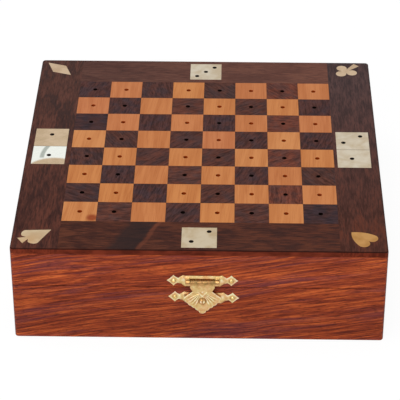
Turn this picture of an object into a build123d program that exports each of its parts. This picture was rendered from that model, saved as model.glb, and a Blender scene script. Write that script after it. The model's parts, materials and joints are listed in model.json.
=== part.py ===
# Travelling chess box: an inlaid peg board on the lid, a brass latch in front, brass hinges behind.
# Millimetres, +Z up, the front towards -Y, the origin at the middle of the underside.
import os
from math import atan2, cos, degrees, radians, sin

from build123d import *

os.makedirs("parts", exist_ok=True)

# Playing board
square = 14.3
squares_per_side = 8
board_thickness = 2.6
glue_line = 0.06
side_strip = 19.4
end_strip = 20.05
peg_hole_radius = 1.0
peg_hole_depth = 4.6
undrilled_file = 3

# Box
base_height = 26.5
lid_height = 18.2
seam_gap = 0.3
wall = 7.0
floor_thickness = 4.0
panel_thickness = 3.0
corner_radius = 1.5
edge_round = 0.6
inlet_gap = 0.05

# Brass inlays
inlay_thickness = 1.2
inlay_inset = 0.6
plate_side = 14.4
domino_gap = 0.2
pip_hole_radius = 1.0
pip_pitch = 4.0
spade_length, spade_breadth = 14.6, 10.8
spade_stem_width = 4.4
heart_length, heart_breadth = 11.3, 10.2
club_lobe_radius = 2.4
club_length = 13.5
club_stem_width = 3.2
diamond_length, diamond_breadth = 16.0, 8.0

# Butt hinges
hinge_spacing = 90.0
hinge_width = 22.0
leaf_depth = 6.0
leaf_thickness = 0.9
knuckle_radius = 1.9
middle_knuckle = 8.0
knuckle_gap = 0.2
hinge_pin_radius = 0.9
running_gap = 0.05
hinge_standoff = 0.25
hinge_screw_pitch = 14.0
hinge_screw_radius = 0.8
hinge_screw_head = 1.6
hinge_screw_length = 6.0
countersink_depth = 0.8
screw_slot = 0.35

# Latch
latch_x = 1.5
catch_shift = 0.5
plate_thickness = 0.7
plate_half_length = 14.6
finial_height = 2.65
finial_centre = 11.8
shoulder_to_finial = 3.8
neck_to_finial = 1.9
neck_half_height = 1.15
ear_height = 2.6
ear_rise = 0.3
skirt_height = 3.1
lid_plate_rise = 3.4
catch_plate_drop = 4.7
catch_turn = -1.2
hasp_axis_rise = 3.9
hasp_pin_radius = 0.4
eye_radius = 0.9
eye_gap = 0.15
tongue_half_width = 5.0
tongue_straight = 2.9
waist_half_width = 4.0
waist_drop = 4.6
hasp_thickness = 0.6
hasp_standoff = 1.6
cheek_width = 1.75
cheek_gap = 0.2
scallops = [(7.5, -7.6), (7.1, -8.9), (6.0, -10.6), (4.5, -11.9), (3.0, -13.0), (1.5, -14.4), (0, -15.8)]
scallop_bulge = 0.2
fan_centre = (0, -5.1)
flute_start, flute_end = 0.25, 0.92
flute_narrow, flute_wide = 0.12, 0.4
nib_radius = 0.9
nib_height = 0.5
knob_radius = 1.35
knob_height = 1.1
knob_drop = 9.3
rivet_radius = 0.5
rib_height = 0.25
lozenge_side = 1.7
plate_screw_radius = 0.55
plate_screw_head = 0.95
plate_screw_dome = 0.5
plate_screw_length = 4.0

# Inside the box
divider_thickness = 3.0
divider_height = 18.0
card_width, card_length, deck_height = 63.0, 88.0, 16.0
card_corner = 3.0
card_clearance = 2.5
card_well_spare = 4.0
domino_length, domino_width, domino_thickness = 24.0, 12.0, 3.0
domino_corner = 1.0
domino_well_depth = 28.0
domino_spacing = 0.6
stack_gap = 0.05
domino_pip_radius = 0.75
domino_pip_pitch = 3.2
domino_pip_depth = 0.3
groove_width = 0.5
die_side = 10.0
die_corner = 1.1
die_spacing = 14.0
die_pip_radius = 0.9
die_pip_pitch = 2.5
die_pip_depth = 0.35

# Chessmen
foot_radius = 4.1
foot_height = 1.2
step_height = 0.5
stem_flare = 1.3
collar_height = 0.7
peg_radius = 0.9
peg_length = 4.0
rest_gap = 0.1
pawn_height = 13.0
pawn_head_radius = 2.3
pawn_stem_radius, pawn_collar_radius = 1.3, 2.1
rook_height = 14.5
turret_radius, turret_height = 2.9, 4.2
turret_bore_radius, turret_bore_depth = 1.8, 1.4
crenel_width, crenel_depth = 1.1, 1.1
rook_stem_radius, rook_collar_radius = 1.9, 2.6
knight_height = 16.0
knight_neck_height = 4.6
knight_half_thickness = 1.6
knight_stem_radius, knight_collar_radius = 2.3, 2.9
bishop_height = 17.5
mitre_radius, mitre_height = 2.25, 5.6
mitre_bead_radius = 0.6
mitre_cut_width, mitre_cut_turn = 0.5, 35
bishop_stem_radius, bishop_collar_radius = 1.4, 2.4
crown_height = 4.5
crown_foot_radius, crown_waist_radius, crown_radius = 1.5, 1.8, 2.7
queen_height = 20.0
queen_dome_radius = 1.4
queen_points, queen_notch_radius, queen_notch_depth = 8, 0.6, 0.8
queen_stem_radius, queen_collar_radius = 1.5, 2.5
king_height = 22.0
king_cap_radius, king_cap_height = 2.1, 0.9
king_stem_radius, king_collar_radius = 1.6, 2.6
cross_height, cross_width, cross_bar = 3.2, 2.2, 0.8

field = squares_per_side * square
box_width = field + 2 * side_strip
box_depth = field + 2 * end_strip
front_y = -box_depth / 2
lid_bottom = base_height + seam_gap
box_top = lid_bottom + lid_height
board_bottom = box_top - board_thickness
panel_bottom = board_bottom - panel_thickness
inner_width = box_width - 2 * wall
inner_depth = box_depth - 2 * wall
floor_top = floor_thickness
hinge_axis_y = box_depth / 2 + knuckle_radius + hinge_standoff
hinge_axis_z = base_height + seam_gap / 2
lid_plate_z = lid_bottom + lid_plate_rise
catch_plate_z = base_height - catch_plate_drop
hasp_axis_z = base_height + hasp_axis_rise
hasp_axis_proud = plate_thickness + eye_gap + eye_radius
hasp_front = hasp_standoff + hasp_thickness

FRONT = Axis((0, 0, 0), (0, -1, 0))
BACK = Axis((0, 0, 0), (0, 1, 0))
LEFT = Axis((0, 0, 0), (-1, 0, 0))
RIGHT = Axis((0, 0, 0), (1, 0, 0))


def save(piece, name):
    piece.part.label = name
    export_step(piece.part, f"parts/{name}.step")


# A plane that faces the front, at a distance before the box and turned by some degrees.
def front_plane(x, z, proud=0.0, turn=0.0):
    along = (cos(radians(turn)), 0, sin(radians(turn)))
    return Plane(origin=(x, front_y - proud, z), x_dir=along, z_dir=(0, -1, 0))


# A straight board whose outer face lies at a distance from the middle of the box.
def frame_board(outward, length, thickness, distance, bottom, height, free_ends, rounded=None):
    direction = outward.direction
    centre = direction * (distance - thickness / 2)
    across_x = abs(direction.X) > 0.5
    with BuildPart(mode=Mode.PRIVATE) as board:
        with BuildSketch(Plane.XY.offset(bottom)):
            with Locations((centre.X, centre.Y)):
                Rectangle(thickness if across_x else length, length if across_x else thickness)
        extrude(amount=height)
        if free_ends:
            fillet(board.edges().filter_by(Axis.Z).group_by(outward)[-1], corner_radius)
        if rounded:
            face = board.faces().sort_by(Axis.Z)[-1 if rounded == "top" else 0]
            first_outer = 1 if free_ends else -1
            fillet(face.edges().sort_by(outward)[first_outer:], edge_round)
    return board.part


# Places on the two hinges
hinge_places = [-hinge_spacing / 2, hinge_spacing / 2]
leaf_y = (box_depth - leaf_depth) / 2
leaf_centres = [(x, leaf_y) for x in hinge_places]


def leaf_screw_places(x):
    return [(x - hinge_screw_pitch / 2, leaf_y), (x + hinge_screw_pitch / 2, leaf_y)]


hinge_screw_places = leaf_screw_places(hinge_places[0]) + leaf_screw_places(hinge_places[1])
latch_screw_places = [(-finial_centre, 0), (finial_centre, 0)]

# Lower half of the box
with BuildPart() as base_front_wall:
    add(frame_board(FRONT, box_width, wall, box_depth / 2, 0, base_height, True, "bottom"))
    with BuildSketch(front_plane(latch_x + catch_shift, catch_plate_z, turn=catch_turn)):
        with Locations(*latch_screw_places):
            Circle(plate_screw_radius + running_gap)
    extrude(amount=-plate_screw_length, mode=Mode.SUBTRACT)
save(base_front_wall, "base_front_wall")

with BuildPart() as base_back_wall:
    add(frame_board(BACK, box_width, wall, box_depth / 2, 0, base_height, True, "bottom"))
    with BuildSketch(Plane.XY.offset(base_height)):
        with Locations(*leaf_centres):
            Rectangle(hinge_width + 2 * inlet_gap, leaf_depth + 2 * inlet_gap)
    extrude(amount=-leaf_thickness, mode=Mode.SUBTRACT)
    with BuildSketch(Plane.XY.offset(base_height)):
        with Locations(*hinge_screw_places):
            Circle(hinge_screw_radius + running_gap)
    extrude(amount=-hinge_screw_length, mode=Mode.SUBTRACT)
save(base_back_wall, "base_back_wall")

with BuildPart() as base_left_wall:
    add(frame_board(LEFT, inner_depth, wall, box_width / 2, 0, base_height, False, "bottom"))
save(base_left_wall, "base_left_wall")

with BuildPart() as base_right_wall:
    add(frame_board(RIGHT, inner_depth, wall, box_width / 2, 0, base_height, False, "bottom"))
save(base_right_wall, "base_right_wall")

with BuildPart() as base_floor:
    with BuildSketch():
        Rectangle(inner_width, inner_depth)
    extrude(amount=floor_thickness)
save(base_floor, "base_floor")

# Wells: cards at the back left, dominoes and dice in front of them, chessmen on the right
card_well_width = card_width + card_clearance
card_well_depth = card_length + card_well_spare
inner_left = -inner_width / 2
inner_front = -inner_depth / 2
inner_back = inner_depth / 2
long_divider_x = inner_left + card_well_width + divider_thickness / 2
card_divider_y = inner_back - card_well_depth - divider_thickness / 2
dice_divider_y = card_divider_y - domino_well_depth - divider_thickness
left_well_x = inner_left + card_well_width / 2
chess_well_left = long_divider_x + divider_thickness / 2
chess_well_width = inner_width / 2 - chess_well_left
dice_well_depth = dice_divider_y - divider_thickness / 2 - inner_front

with BuildPart() as long_divider:
    with BuildSketch(Plane.XY.offset(floor_top)):
        with Locations((long_divider_x, 0)):
            Rectangle(divider_thickness, inner_depth)
    extrude(amount=divider_height)
save(long_divider, "long_divider")

with BuildPart() as card_divider:
    with BuildSketch(Plane.XY.offset(floor_top)):
        with Locations((left_well_x, card_divider_y)):
            Rectangle(card_well_width, divider_thickness)
    extrude(amount=divider_height)
save(card_divider, "card_divider")

with BuildPart() as dice_divider:
    with BuildSketch(Plane.XY.offset(floor_top)):
        with Locations((left_well_x, dice_divider_y)):
            Rectangle(card_well_width, divider_thickness)
    extrude(amount=divider_height)
save(dice_divider, "dice_divider")

# Lid frame and the panel that carries the playing board
lid_wall_height = board_bottom - lid_bottom

with BuildPart() as lid_front_wall:
    add(frame_board(FRONT, box_width, wall, box_depth / 2, lid_bottom, lid_wall_height, True))
    with BuildSketch(front_plane(latch_x, lid_plate_z)):
        with Locations(*latch_screw_places):
            Circle(plate_screw_radius + running_gap)
    extrude(amount=-plate_screw_length, mode=Mode.SUBTRACT)
save(lid_front_wall, "lid_front_wall")

with BuildPart() as lid_back_wall:
    add(frame_board(BACK, box_width, wall, box_depth / 2, lid_bottom, lid_wall_height, True))
    with BuildSketch(Plane.XY.offset(lid_bottom)):
        with Locations(*leaf_centres):
            Rectangle(hinge_width + 2 * inlet_gap, leaf_depth + 2 * inlet_gap)
    extrude(amount=leaf_thickness, mode=Mode.SUBTRACT)
    with BuildSketch(Plane.XY.offset(lid_bottom)):
        with Locations(*hinge_screw_places):
            Circle(hinge_screw_radius + running_gap)
    extrude(amount=hinge_screw_length, mode=Mode.SUBTRACT)
save(lid_back_wall, "lid_back_wall")

with BuildPart() as lid_left_wall:
    add(frame_board(LEFT, inner_depth, wall, box_width / 2, lid_bottom, lid_wall_height, False))
save(lid_left_wall, "lid_left_wall")

with BuildPart() as lid_right_wall:
    add(frame_board(RIGHT, inner_depth, wall, box_width / 2, lid_bottom, lid_wall_height, False))
save(lid_right_wall, "lid_right_wall")

middle = (squares_per_side - 1) / 2
cells = [(i, j) for i in range(squares_per_side) for j in range(squares_per_side)]


def cell_centres(chosen):
    return [((i - middle) * square, (j - middle) * square) for i, j in chosen]


light_cells = [(i, j) for i, j in cells if (i + j) % 2 == 0]
dark_cells = [(i, j) for i, j in cells if (i + j) % 2 == 1]


def drilled(chosen):
    return [(i, j) for i, j in chosen if i != undrilled_file - 1]


with BuildPart() as lid_panel:
    with BuildSketch(Plane.XY.offset(panel_bottom)):
        Rectangle(inner_width, inner_depth)
    extrude(amount=panel_thickness)
    with BuildSketch(Plane.XY.offset(board_bottom)):
        with Locations(*cell_centres(drilled(cells))):
            Circle(peg_hole_radius)
    extrude(amount=board_thickness - peg_hole_depth, mode=Mode.SUBTRACT)
save(lid_panel, "lid_panel")

with BuildPart() as light_squares:
    with BuildSketch(Plane.XY.offset(board_bottom)):
        with Locations(*cell_centres(light_cells)):
            Rectangle(square - glue_line, square - glue_line)
        with Locations(*cell_centres(drilled(light_cells))):
            Circle(peg_hole_radius, mode=Mode.SUBTRACT)
    extrude(amount=board_thickness)
save(light_squares, "light_squares")

with BuildPart() as dark_squares:
    with BuildSketch(Plane.XY.offset(board_bottom)):
        with Locations(*cell_centres(dark_cells)):
            Rectangle(square - glue_line, square - glue_line)
        with Locations(*cell_centres(drilled(dark_cells))):
            Circle(peg_hole_radius, mode=Mode.SUBTRACT)
    extrude(amount=board_thickness)
save(dark_squares, "dark_squares")

# Brass inlays: the outline of each card suit points along +Y and is turned to its corner
corner_x = (field + side_strip) / 2 - inlay_inset
corner_y = (field + end_strip) / 2
inlay_bottom = box_top - inlay_thickness


def diamond_outline():
    with BuildSketch() as outline:
        with BuildLine():
            Polyline(
                (0, -diamond_length / 2),
                (diamond_breadth / 2, 0),
                (0, diamond_length / 2),
                (-diamond_breadth / 2, 0),
                close=True,
            )
        make_face()
        fillet(outline.vertices().sort_by(Axis.X)[0], diamond_breadth / 8)
    return outline.sketch


def club_outline():
    top = club_length / 2 - club_lobe_radius
    side_y = top - 1.7 * club_lobe_radius
    with BuildSketch() as outline:
        with Locations((0, top), (-1.27 * club_lobe_radius, side_y), (1.27 * club_lobe_radius, side_y)):
            Circle(club_lobe_radius)
        with Locations((0, side_y + 0.5 * club_lobe_radius)):
            Circle(0.75 * club_lobe_radius)
        with BuildLine():
            Polyline(
                (-club_stem_width / 5, side_y),
                (-club_stem_width / 2, -club_length / 2),
                (club_stem_width / 2, -club_length / 2),
                (club_stem_width / 5, side_y),
                close=True,
            )
        make_face()
    return outline.sketch


def spade_outline():
    half = spade_breadth / 2
    tip, foot = spade_length / 2, -spade_length / 2
    lobe_radius = 0.27 * spade_breadth
    lobe_y = foot + 0.36 * spade_length
    with BuildSketch() as outline:
        with BuildLine():
            Line((0, lobe_y - lobe_radius / 2), (half - lobe_radius, lobe_y - lobe_radius))
            ThreePointArc(
                (half - lobe_radius, lobe_y - lobe_radius),
                (half - 0.29 * lobe_radius, lobe_y - 0.7 * lobe_radius),
                (half, lobe_y),
            )
            ThreePointArc((half, lobe_y), (0.62 * half, lobe_y + 0.24 * spade_length), (0, tip))
            Line((0, tip), (0, lobe_y - lobe_radius / 2))
        make_face()
        mirror(about=Plane.YZ)
        with BuildLine():
            Polyline(
                (0, lobe_y), (-spade_stem_width / 2, foot), (spade_stem_width / 2, foot), close=True
            )
        make_face()
    return outline.sketch


def heart_outline():
    half = heart_breadth / 2
    lobe_radius = half / 2
    tip, lobe_y = -heart_length / 2, heart_length / 2 - lobe_radius
    with BuildSketch() as outline:
        with BuildLine():
            ThreePointArc((0, lobe_y), (lobe_radius, lobe_y + lobe_radius), (half, lobe_y))
            ThreePointArc((half, lobe_y), (0.62 * half, tip + 0.4 * (lobe_y - tip)), (0, tip))
            Line((0, tip), (0, lobe_y))
        make_face()
        mirror(about=Plane.YZ)
    return outline.sketch


def placed(outline, x, y, heading, z):
    return outline.moved(Location((x, y, z), (0, 0, heading - 90)))


suit_outlines = {
    "diamond": placed(diamond_outline(), -corner_x - 1.7, corner_y + 1.6, -45, inlay_bottom),
    "club": placed(club_outline(), corner_x + 0.1, corner_y + 2.6, -132, inlay_bottom),
    "spade": placed(spade_outline(), -corner_x - 0.5, -corner_y - 0.4, 33, inlay_bottom),
    "heart": placed(heart_outline(), corner_x, -corner_y + 0.1, -43, inlay_bottom),
}

for suit, outline in suit_outlines.items():
    with BuildPart() as suit_inlay:
        add(outline)
        extrude(amount=inlay_thickness)
    save(suit_inlay, f"{suit}_inlay")

# Pips as multiples of the pip pitch from the middle of a die's face
one = [(0, 0)]
two = [(-1, -1), (1, 1)]
three = two + one
four = two + [(-1, 1), (1, -1)]
five = four + one
six = four + [(-1, 0), (1, 0)]
blank = []
pip_layouts = [blank, one, two, three, four, five, six]

# The lid's own pips are drilled by hand, a little off those places, and stopped with black wax
plate_pitch = plate_side + domino_gap
left_plate_x, left_plate_y = -corner_x - 0.3, 0.7
right_plate_x, right_plate_y = corner_x - 0.4, 0.2
plate_faces = {
    "left_domino_inlay": [
        (left_plate_x, left_plate_y + plate_pitch / 2, [(0, 0.6)]),
        (left_plate_x, left_plate_y - plate_pitch / 2, one),
    ],
    "right_domino_inlay": [
        (right_plate_x, right_plate_y + plate_pitch / 2, [(-1, -0.4), (0.9, 0.95)]),
        (right_plate_x, right_plate_y - plate_pitch / 2, [(-0.2, 0)]),
    ],
    "back_die_inlay": [(0.5, corner_y, three)],
    "front_die_inlay": [(0, -corner_y - 1.0, [(-0.8, -0.7), (1.0, 1.1)])],
}


def plate_sketch(faces):
    with BuildSketch(Plane.XY.offset(inlay_bottom), mode=Mode.PRIVATE) as plates:
        with Locations(*[(x, y) for x, y, pips in faces]):
            Rectangle(plate_side, plate_side)
    return plates.sketch


def pip_places(faces):
    return [(x + i * pip_pitch, y + j * pip_pitch) for x, y, pips in faces for i, j in pips]


for name, faces in plate_faces.items():
    with BuildPart() as plate_inlay:
        add(plate_sketch(faces))
        extrude(amount=inlay_thickness)
        with BuildSketch(Plane.XY.offset(inlay_bottom)):
            with Locations(*pip_places(faces)):
                Circle(pip_hole_radius)
        extrude(amount=inlay_thickness, mode=Mode.SUBTRACT)
    save(plate_inlay, name)

with BuildPart() as pip_stoppings:
    with BuildSketch(Plane.XY.offset(inlay_bottom)):
        for faces in plate_faces.values():
            with Locations(*pip_places(faces)):
                Circle(pip_hole_radius)
    extrude(amount=inlay_thickness)
save(pip_stoppings, "pip_stoppings")

# Border strips, each let out for its own inlays
with BuildPart() as left_border:
    add(frame_board(LEFT, box_depth, side_strip, box_width / 2, board_bottom, board_thickness, True, "top"))
    add([suit_outlines["diamond"], suit_outlines["spade"], plate_sketch(plate_faces["left_domino_inlay"])])
    extrude(amount=inlay_thickness, mode=Mode.SUBTRACT)
save(left_border, "left_border")

with BuildPart() as right_border:
    add(frame_board(RIGHT, box_depth, side_strip, box_width / 2, board_bottom, board_thickness, True, "top"))
    add([suit_outlines["club"], suit_outlines["heart"], plate_sketch(plate_faces["right_domino_inlay"])])
    extrude(amount=inlay_thickness, mode=Mode.SUBTRACT)
save(right_border, "right_border")

with BuildPart() as front_border:
    add(frame_board(FRONT, field, end_strip, box_depth / 2, board_bottom, board_thickness, False, "top"))
    add(plate_sketch(plate_faces["front_die_inlay"]))
    extrude(amount=inlay_thickness, mode=Mode.SUBTRACT)
save(front_border, "front_border")

with BuildPart() as back_border:
    add(frame_board(BACK, field, end_strip, box_depth / 2, board_bottom, board_thickness, False, "top"))
    add(plate_sketch(plate_faces["back_die_inlay"]))
    extrude(amount=inlay_thickness, mode=Mode.SUBTRACT)
save(back_border, "back_border")

# Butt hinges: the leaves lie in the seam and the knuckles stand clear of the back
side_knuckle = (hinge_width - middle_knuckle) / 2 - knuckle_gap
side_knuckle_centre = (hinge_width - side_knuckle) / 2
knuckle_reach = hinge_axis_y - box_depth / 2
outer_knuckles = [(-side_knuckle_centre, side_knuckle), (side_knuckle_centre, side_knuckle)]
inner_knuckle = [(0, middle_knuckle)]
upright, upside_down = (0, 0, 0), (180, 0, 0)


# A rod along X, centred at an offset from the box's middle plane.
def rod(x, y, z, radius, length):
    with BuildPart(mode=Mode.PRIVATE) as piece:
        with BuildSketch(Plane.YZ.offset(x - length / 2)):
            with Locations((y, z)):
                Circle(radius)
        extrude(amount=length)
    return piece.part


# A countersunk wood screw with its head's top at the origin; the gap makes it a hole.
def countersunk_form(gap):
    shank = hinge_screw_radius + gap
    with BuildPart(mode=Mode.PRIVATE) as form:
        with BuildSketch(Plane.XZ):
            with BuildLine():
                Polyline(
                    (0, 0),
                    (hinge_screw_head + gap, 0),
                    (shank, -countersink_depth),
                    (shank, -hinge_screw_length - gap),
                    (0, -hinge_screw_length - gap),
                    close=True,
                )
            make_face()
        revolve(axis=Axis.Z)
    return form.part


def hinge_leaf(x, knuckles, face_z, thickness, turn):
    with BuildPart() as leaf:
        with BuildSketch(Plane.XY.offset(face_z)):
            with Locations((x, leaf_y)):
                Rectangle(hinge_width, leaf_depth)
            for offset, length in knuckles:
                with Locations((x + offset, box_depth / 2 + knuckle_reach / 2)):
                    Rectangle(length, knuckle_reach)
        extrude(amount=thickness)
        for offset, length in knuckles:
            add(rod(x + offset, hinge_axis_y, hinge_axis_z, knuckle_radius, length))
        bore_radius = hinge_pin_radius + running_gap
        add(rod(x, hinge_axis_y, hinge_axis_z, bore_radius, hinge_width), mode=Mode.SUBTRACT)
        with Locations(*[Location((px, py, face_z), turn) for px, py in leaf_screw_places(x)]):
            add(countersunk_form(running_gap), mode=Mode.SUBTRACT)
    return leaf


for side, x in zip(("left", "right"), hinge_places):
    base_leaf = hinge_leaf(x, outer_knuckles, base_height, -leaf_thickness, upright)
    save(base_leaf, f"{side}_hinge_base_leaf")
    lid_leaf = hinge_leaf(x, inner_knuckle, lid_bottom, leaf_thickness, upside_down)
    save(lid_leaf, f"{side}_hinge_lid_leaf")
    with BuildPart() as hinge_pin:
        add(rod(x, hinge_axis_y, hinge_axis_z, hinge_pin_radius, hinge_width))
    save(hinge_pin, f"{side}_hinge_pin")

with BuildPart() as hinge_screw:
    add(countersunk_form(0))
    with Locations((0, 0, -screw_slot / 2)):
        Box(2 * hinge_screw_head, screw_slot, screw_slot, mode=Mode.SUBTRACT)

with BuildPart() as hinge_base_screws:
    with Locations(*[Location((x, y, base_height), upright) for x, y in hinge_screw_places]):
        add(hinge_screw.part)
save(hinge_base_screws, "hinge_base_screws")

with BuildPart() as hinge_lid_screws:
    with Locations(*[Location((x, y, lid_bottom), upside_down) for x, y in hinge_screw_places]):
        add(hinge_screw.part)
save(hinge_lid_screws, "hinge_lid_screws")

# Latch plates: one stamped outline serves the lid and the box
shoulder_x = finial_centre - shoulder_to_finial
neck_x = finial_centre - neck_to_finial


def latch_plate_outline():
    with BuildSketch(mode=Mode.PRIVATE) as outline:
        with BuildLine():
            Polyline(
                (0, ear_height - ear_rise),
                (shoulder_x - 3 * ear_rise, ear_height - ear_rise),
                (shoulder_x, ear_height),
                (neck_x, neck_half_height),
                (finial_centre, finial_height),
                (plate_half_length, 0),
                (finial_centre, -finial_height),
                (neck_x + ear_rise, -neck_half_height),
                (neck_x - 3 * ear_rise, -0.5 * skirt_height),
                (shoulder_x - ear_rise / 3, -0.8 * skirt_height),
                (shoulder_x - 3 * ear_rise, -skirt_height),
                (0, -skirt_height),
                close=True,
            )
        make_face()
        mirror(about=Plane.YZ)
        with Locations(*latch_screw_places):
            Circle(plate_screw_radius + running_gap, mode=Mode.SUBTRACT)
    return outline.sketch


cheek_centre = tongue_half_width + cheek_gap + cheek_width / 2
hasp_pin_length = 2 * cheek_centre + cheek_width
hasp_axis_y = front_y - hasp_axis_proud

with BuildPart() as hasp_plate:
    with BuildSketch(front_plane(latch_x, lid_plate_z)):
        add(latch_plate_outline())
    extrude(amount=plate_thickness)
    with BuildSketch(front_plane(latch_x, hasp_axis_z)):
        with Locations((-cheek_centre, 0), (cheek_centre, 0)):
            Rectangle(cheek_width, 2 * eye_radius)
    extrude(amount=hasp_axis_proud)
    for x in (latch_x - cheek_centre, latch_x + cheek_centre):
        add(rod(x, hasp_axis_y, hasp_axis_z, eye_radius, cheek_width))
    bore_radius = hasp_pin_radius + running_gap
    add(rod(latch_x, hasp_axis_y, hasp_axis_z, bore_radius, hasp_pin_length), mode=Mode.SUBTRACT)
save(hasp_plate, "hasp_plate")

with BuildPart() as hasp_pin:
    add(rod(latch_x, hasp_axis_y, hasp_axis_z, hasp_pin_radius, hasp_pin_length))
save(hasp_pin, "hasp_pin")

with BuildPart() as catch_plate:
    with BuildSketch(front_plane(latch_x + catch_shift, catch_plate_z, turn=catch_turn)):
        add(latch_plate_outline())
    extrude(amount=plate_thickness)
    nib_place = front_plane(latch_x, hasp_axis_z - knob_drop, plate_thickness).location
    with Locations(nib_place):
        Cone(nib_radius, nib_radius / 2, nib_height, align=(Align.CENTER, Align.CENTER, Align.MIN))
save(catch_plate, "catch_plate")

# The hasp hangs from its eye and widens into a fluted fan with a scalloped edge
# The middle of a scallop, pushed out from the straight line between its ends.
def scallop_middle(start, end):
    run_x, run_y = end[0] - start[0], end[1] - start[1]
    length = (run_x**2 + run_y**2) ** 0.5
    return (
        (start[0] + end[0]) / 2 - scallop_bulge * run_y / length,
        (start[1] + end[1]) / 2 + scallop_bulge * run_x / length,
    )


# A flute runs from the fan's centre nearly to the rim and widens on the way.
def flute_corners(end):
    reach = Vector(*end) - Vector(*fan_centre)
    along = reach.normalized()
    across = along.rotate(Axis.Z, 90)
    near = Vector(*fan_centre) + reach * flute_start
    far = Vector(*fan_centre) + reach * flute_end
    return [
        near - across * flute_narrow,
        far - across * flute_wide,
        far + across * flute_wide,
        near + across * flute_narrow,
    ]


with BuildPart() as hasp:
    with BuildSketch(front_plane(latch_x, hasp_axis_z, hasp_standoff)):
        with BuildLine():
            Polyline(
                (0, scallops[-1][1]),
                (0, 0),
                (tongue_half_width, 0),
                (tongue_half_width, -tongue_straight),
                (waist_half_width, -waist_drop),
                scallops[0],
            )
            for start, end in zip(scallops, scallops[1:]):
                ThreePointArc(start, scallop_middle(end, start), end)
        make_face()
        mirror(about=Plane.YZ)
    extrude(amount=hasp_thickness)
    add(rod(latch_x, hasp_axis_y, hasp_axis_z, eye_radius, 2 * tongue_half_width))
    bore_radius = hasp_pin_radius + running_gap
    add(rod(latch_x, hasp_axis_y, hasp_axis_z, bore_radius, 2 * tongue_half_width), mode=Mode.SUBTRACT)
    with BuildSketch(front_plane(latch_x, hasp_axis_z, hasp_front)):
        for start, end in zip(scallops, scallops[1:]):
            Polygon(*flute_corners(scallop_middle(end, start)), align=None)
        mirror(about=Plane.YZ)
        with Locations(fan_centre):
            Rectangle(lozenge_side, lozenge_side, rotation=45)
    extrude(amount=rib_height)
    with BuildSketch(front_plane(latch_x, hasp_axis_z - knob_drop, hasp_front)):
        Circle(knob_radius + cheek_gap)
    extrude(amount=rib_height, mode=Mode.SUBTRACT)
    with BuildSketch(front_plane(latch_x, hasp_axis_z - knob_drop, hasp_front)):
        Circle(rivet_radius + running_gap)
    extrude(amount=-hasp_thickness, mode=Mode.SUBTRACT)
save(hasp, "hasp")


# A domed head on a plain shank, which the knob and the plates' screws share.
def dome_headed(head_radius, dome_height, shank_radius, shank_length):
    with BuildPart(mode=Mode.PRIVATE) as form:
        with BuildSketch(Plane.XZ):
            with BuildLine():
                Line((0, -shank_length), (0, dome_height))
                ThreePointArc(
                    (0, dome_height), (0.7 * head_radius, 0.72 * dome_height), (head_radius, 0)
                )
                Polyline(
                    (head_radius, 0),
                    (shank_radius, 0),
                    (shank_radius, -shank_length),
                    (0, -shank_length),
                )
            make_face()
        revolve(axis=Axis.Z)
    return form.part


with BuildPart() as hasp_knob:
    with Locations(front_plane(latch_x, hasp_axis_z - knob_drop, hasp_front).location):
        add(dome_headed(knob_radius, knob_height, rivet_radius, hasp_thickness))
save(hasp_knob, "hasp_knob")

with BuildPart() as plate_screw:
    add(dome_headed(plate_screw_head, plate_screw_dome, plate_screw_radius, plate_screw_length))
    with Locations((0, 0, plate_screw_dome)):
        Box(2 * plate_screw_head, screw_slot, screw_slot, mode=Mode.SUBTRACT)


def plate_screw_seats(x, z, turn=0.0):
    seat = front_plane(x, z, plate_thickness, turn)
    return [seat.location * Location((dx, dy, 0)) for dx, dy in latch_screw_places]


with BuildPart() as hasp_plate_screws:
    with Locations(*plate_screw_seats(latch_x, lid_plate_z)):
        add(plate_screw.part)
save(hasp_plate_screws, "hasp_plate_screws")

with BuildPart() as catch_plate_screws:
    with Locations(*plate_screw_seats(latch_x + catch_shift, catch_plate_z, catch_turn)):
        add(plate_screw.part)
save(catch_plate_screws, "catch_plate_screws")

# Playing cards lie as one squared-up pack in their well
with BuildPart() as playing_cards:
    with BuildSketch(Plane.XY.offset(floor_top)):
        with Locations((left_well_x, inner_back - card_well_depth / 2)):
            RectangleRounded(card_width, card_length, card_corner)
    extrude(amount=deck_height)
save(playing_cards, "playing_cards")

# Dominoes lie face up in four stacks, and each tile keeps its own pair of numbers
domino_x = domino_length / 2 + domino_spacing / 2
domino_y = domino_width / 2 + domino_spacing / 2
domino_well_y = card_divider_y - divider_thickness / 2 - domino_well_depth / 2
stacks = [
    (left_well_x + i * domino_x, domino_well_y + j * domino_y) for i in (-1, 1) for j in (-1, 1)
]
domino_pairs = [(a, b) for a in range(7) for b in range(a, 7)]
tiles_per_stack = len(domino_pairs) // len(stacks)

with BuildPart() as dominoes:
    for level in range(tiles_per_stack):
        bottom = floor_top + stack_gap + level * (domino_thickness + stack_gap)
        top_plane = Plane.XY.offset(bottom + domino_thickness)
        with BuildSketch(Plane.XY.offset(bottom)):
            with Locations(*stacks):
                RectangleRounded(domino_length, domino_width, domino_corner)
        extrude(amount=domino_thickness)
        with BuildSketch(top_plane):
            for stack, (x, y) in enumerate(stacks):
                numbers = domino_pairs[len(stacks) * level + stack]
                with Locations((x, y)):
                    Rectangle(groove_width, 0.8 * domino_width)
                for half, number in zip((-1, 1), numbers):
                    centre_x = x + half * domino_length / 4
                    for i, j in pip_layouts[number]:
                        with Locations((centre_x + i * domino_pip_pitch, y + j * domino_pip_pitch)):
                            Circle(domino_pip_radius)
        extrude(amount=-domino_pip_depth, mode=Mode.SUBTRACT)
save(dominoes, "dominoes")

# Dice: opposite faces add up to seven
die_faces = [
    ((0, 0, 1), five),
    ((0, 0, -1), two),
    ((1, 0, 0), three),
    ((-1, 0, 0), four),
    ((0, -1, 0), one),
    ((0, 1, 0), six),
]

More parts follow.
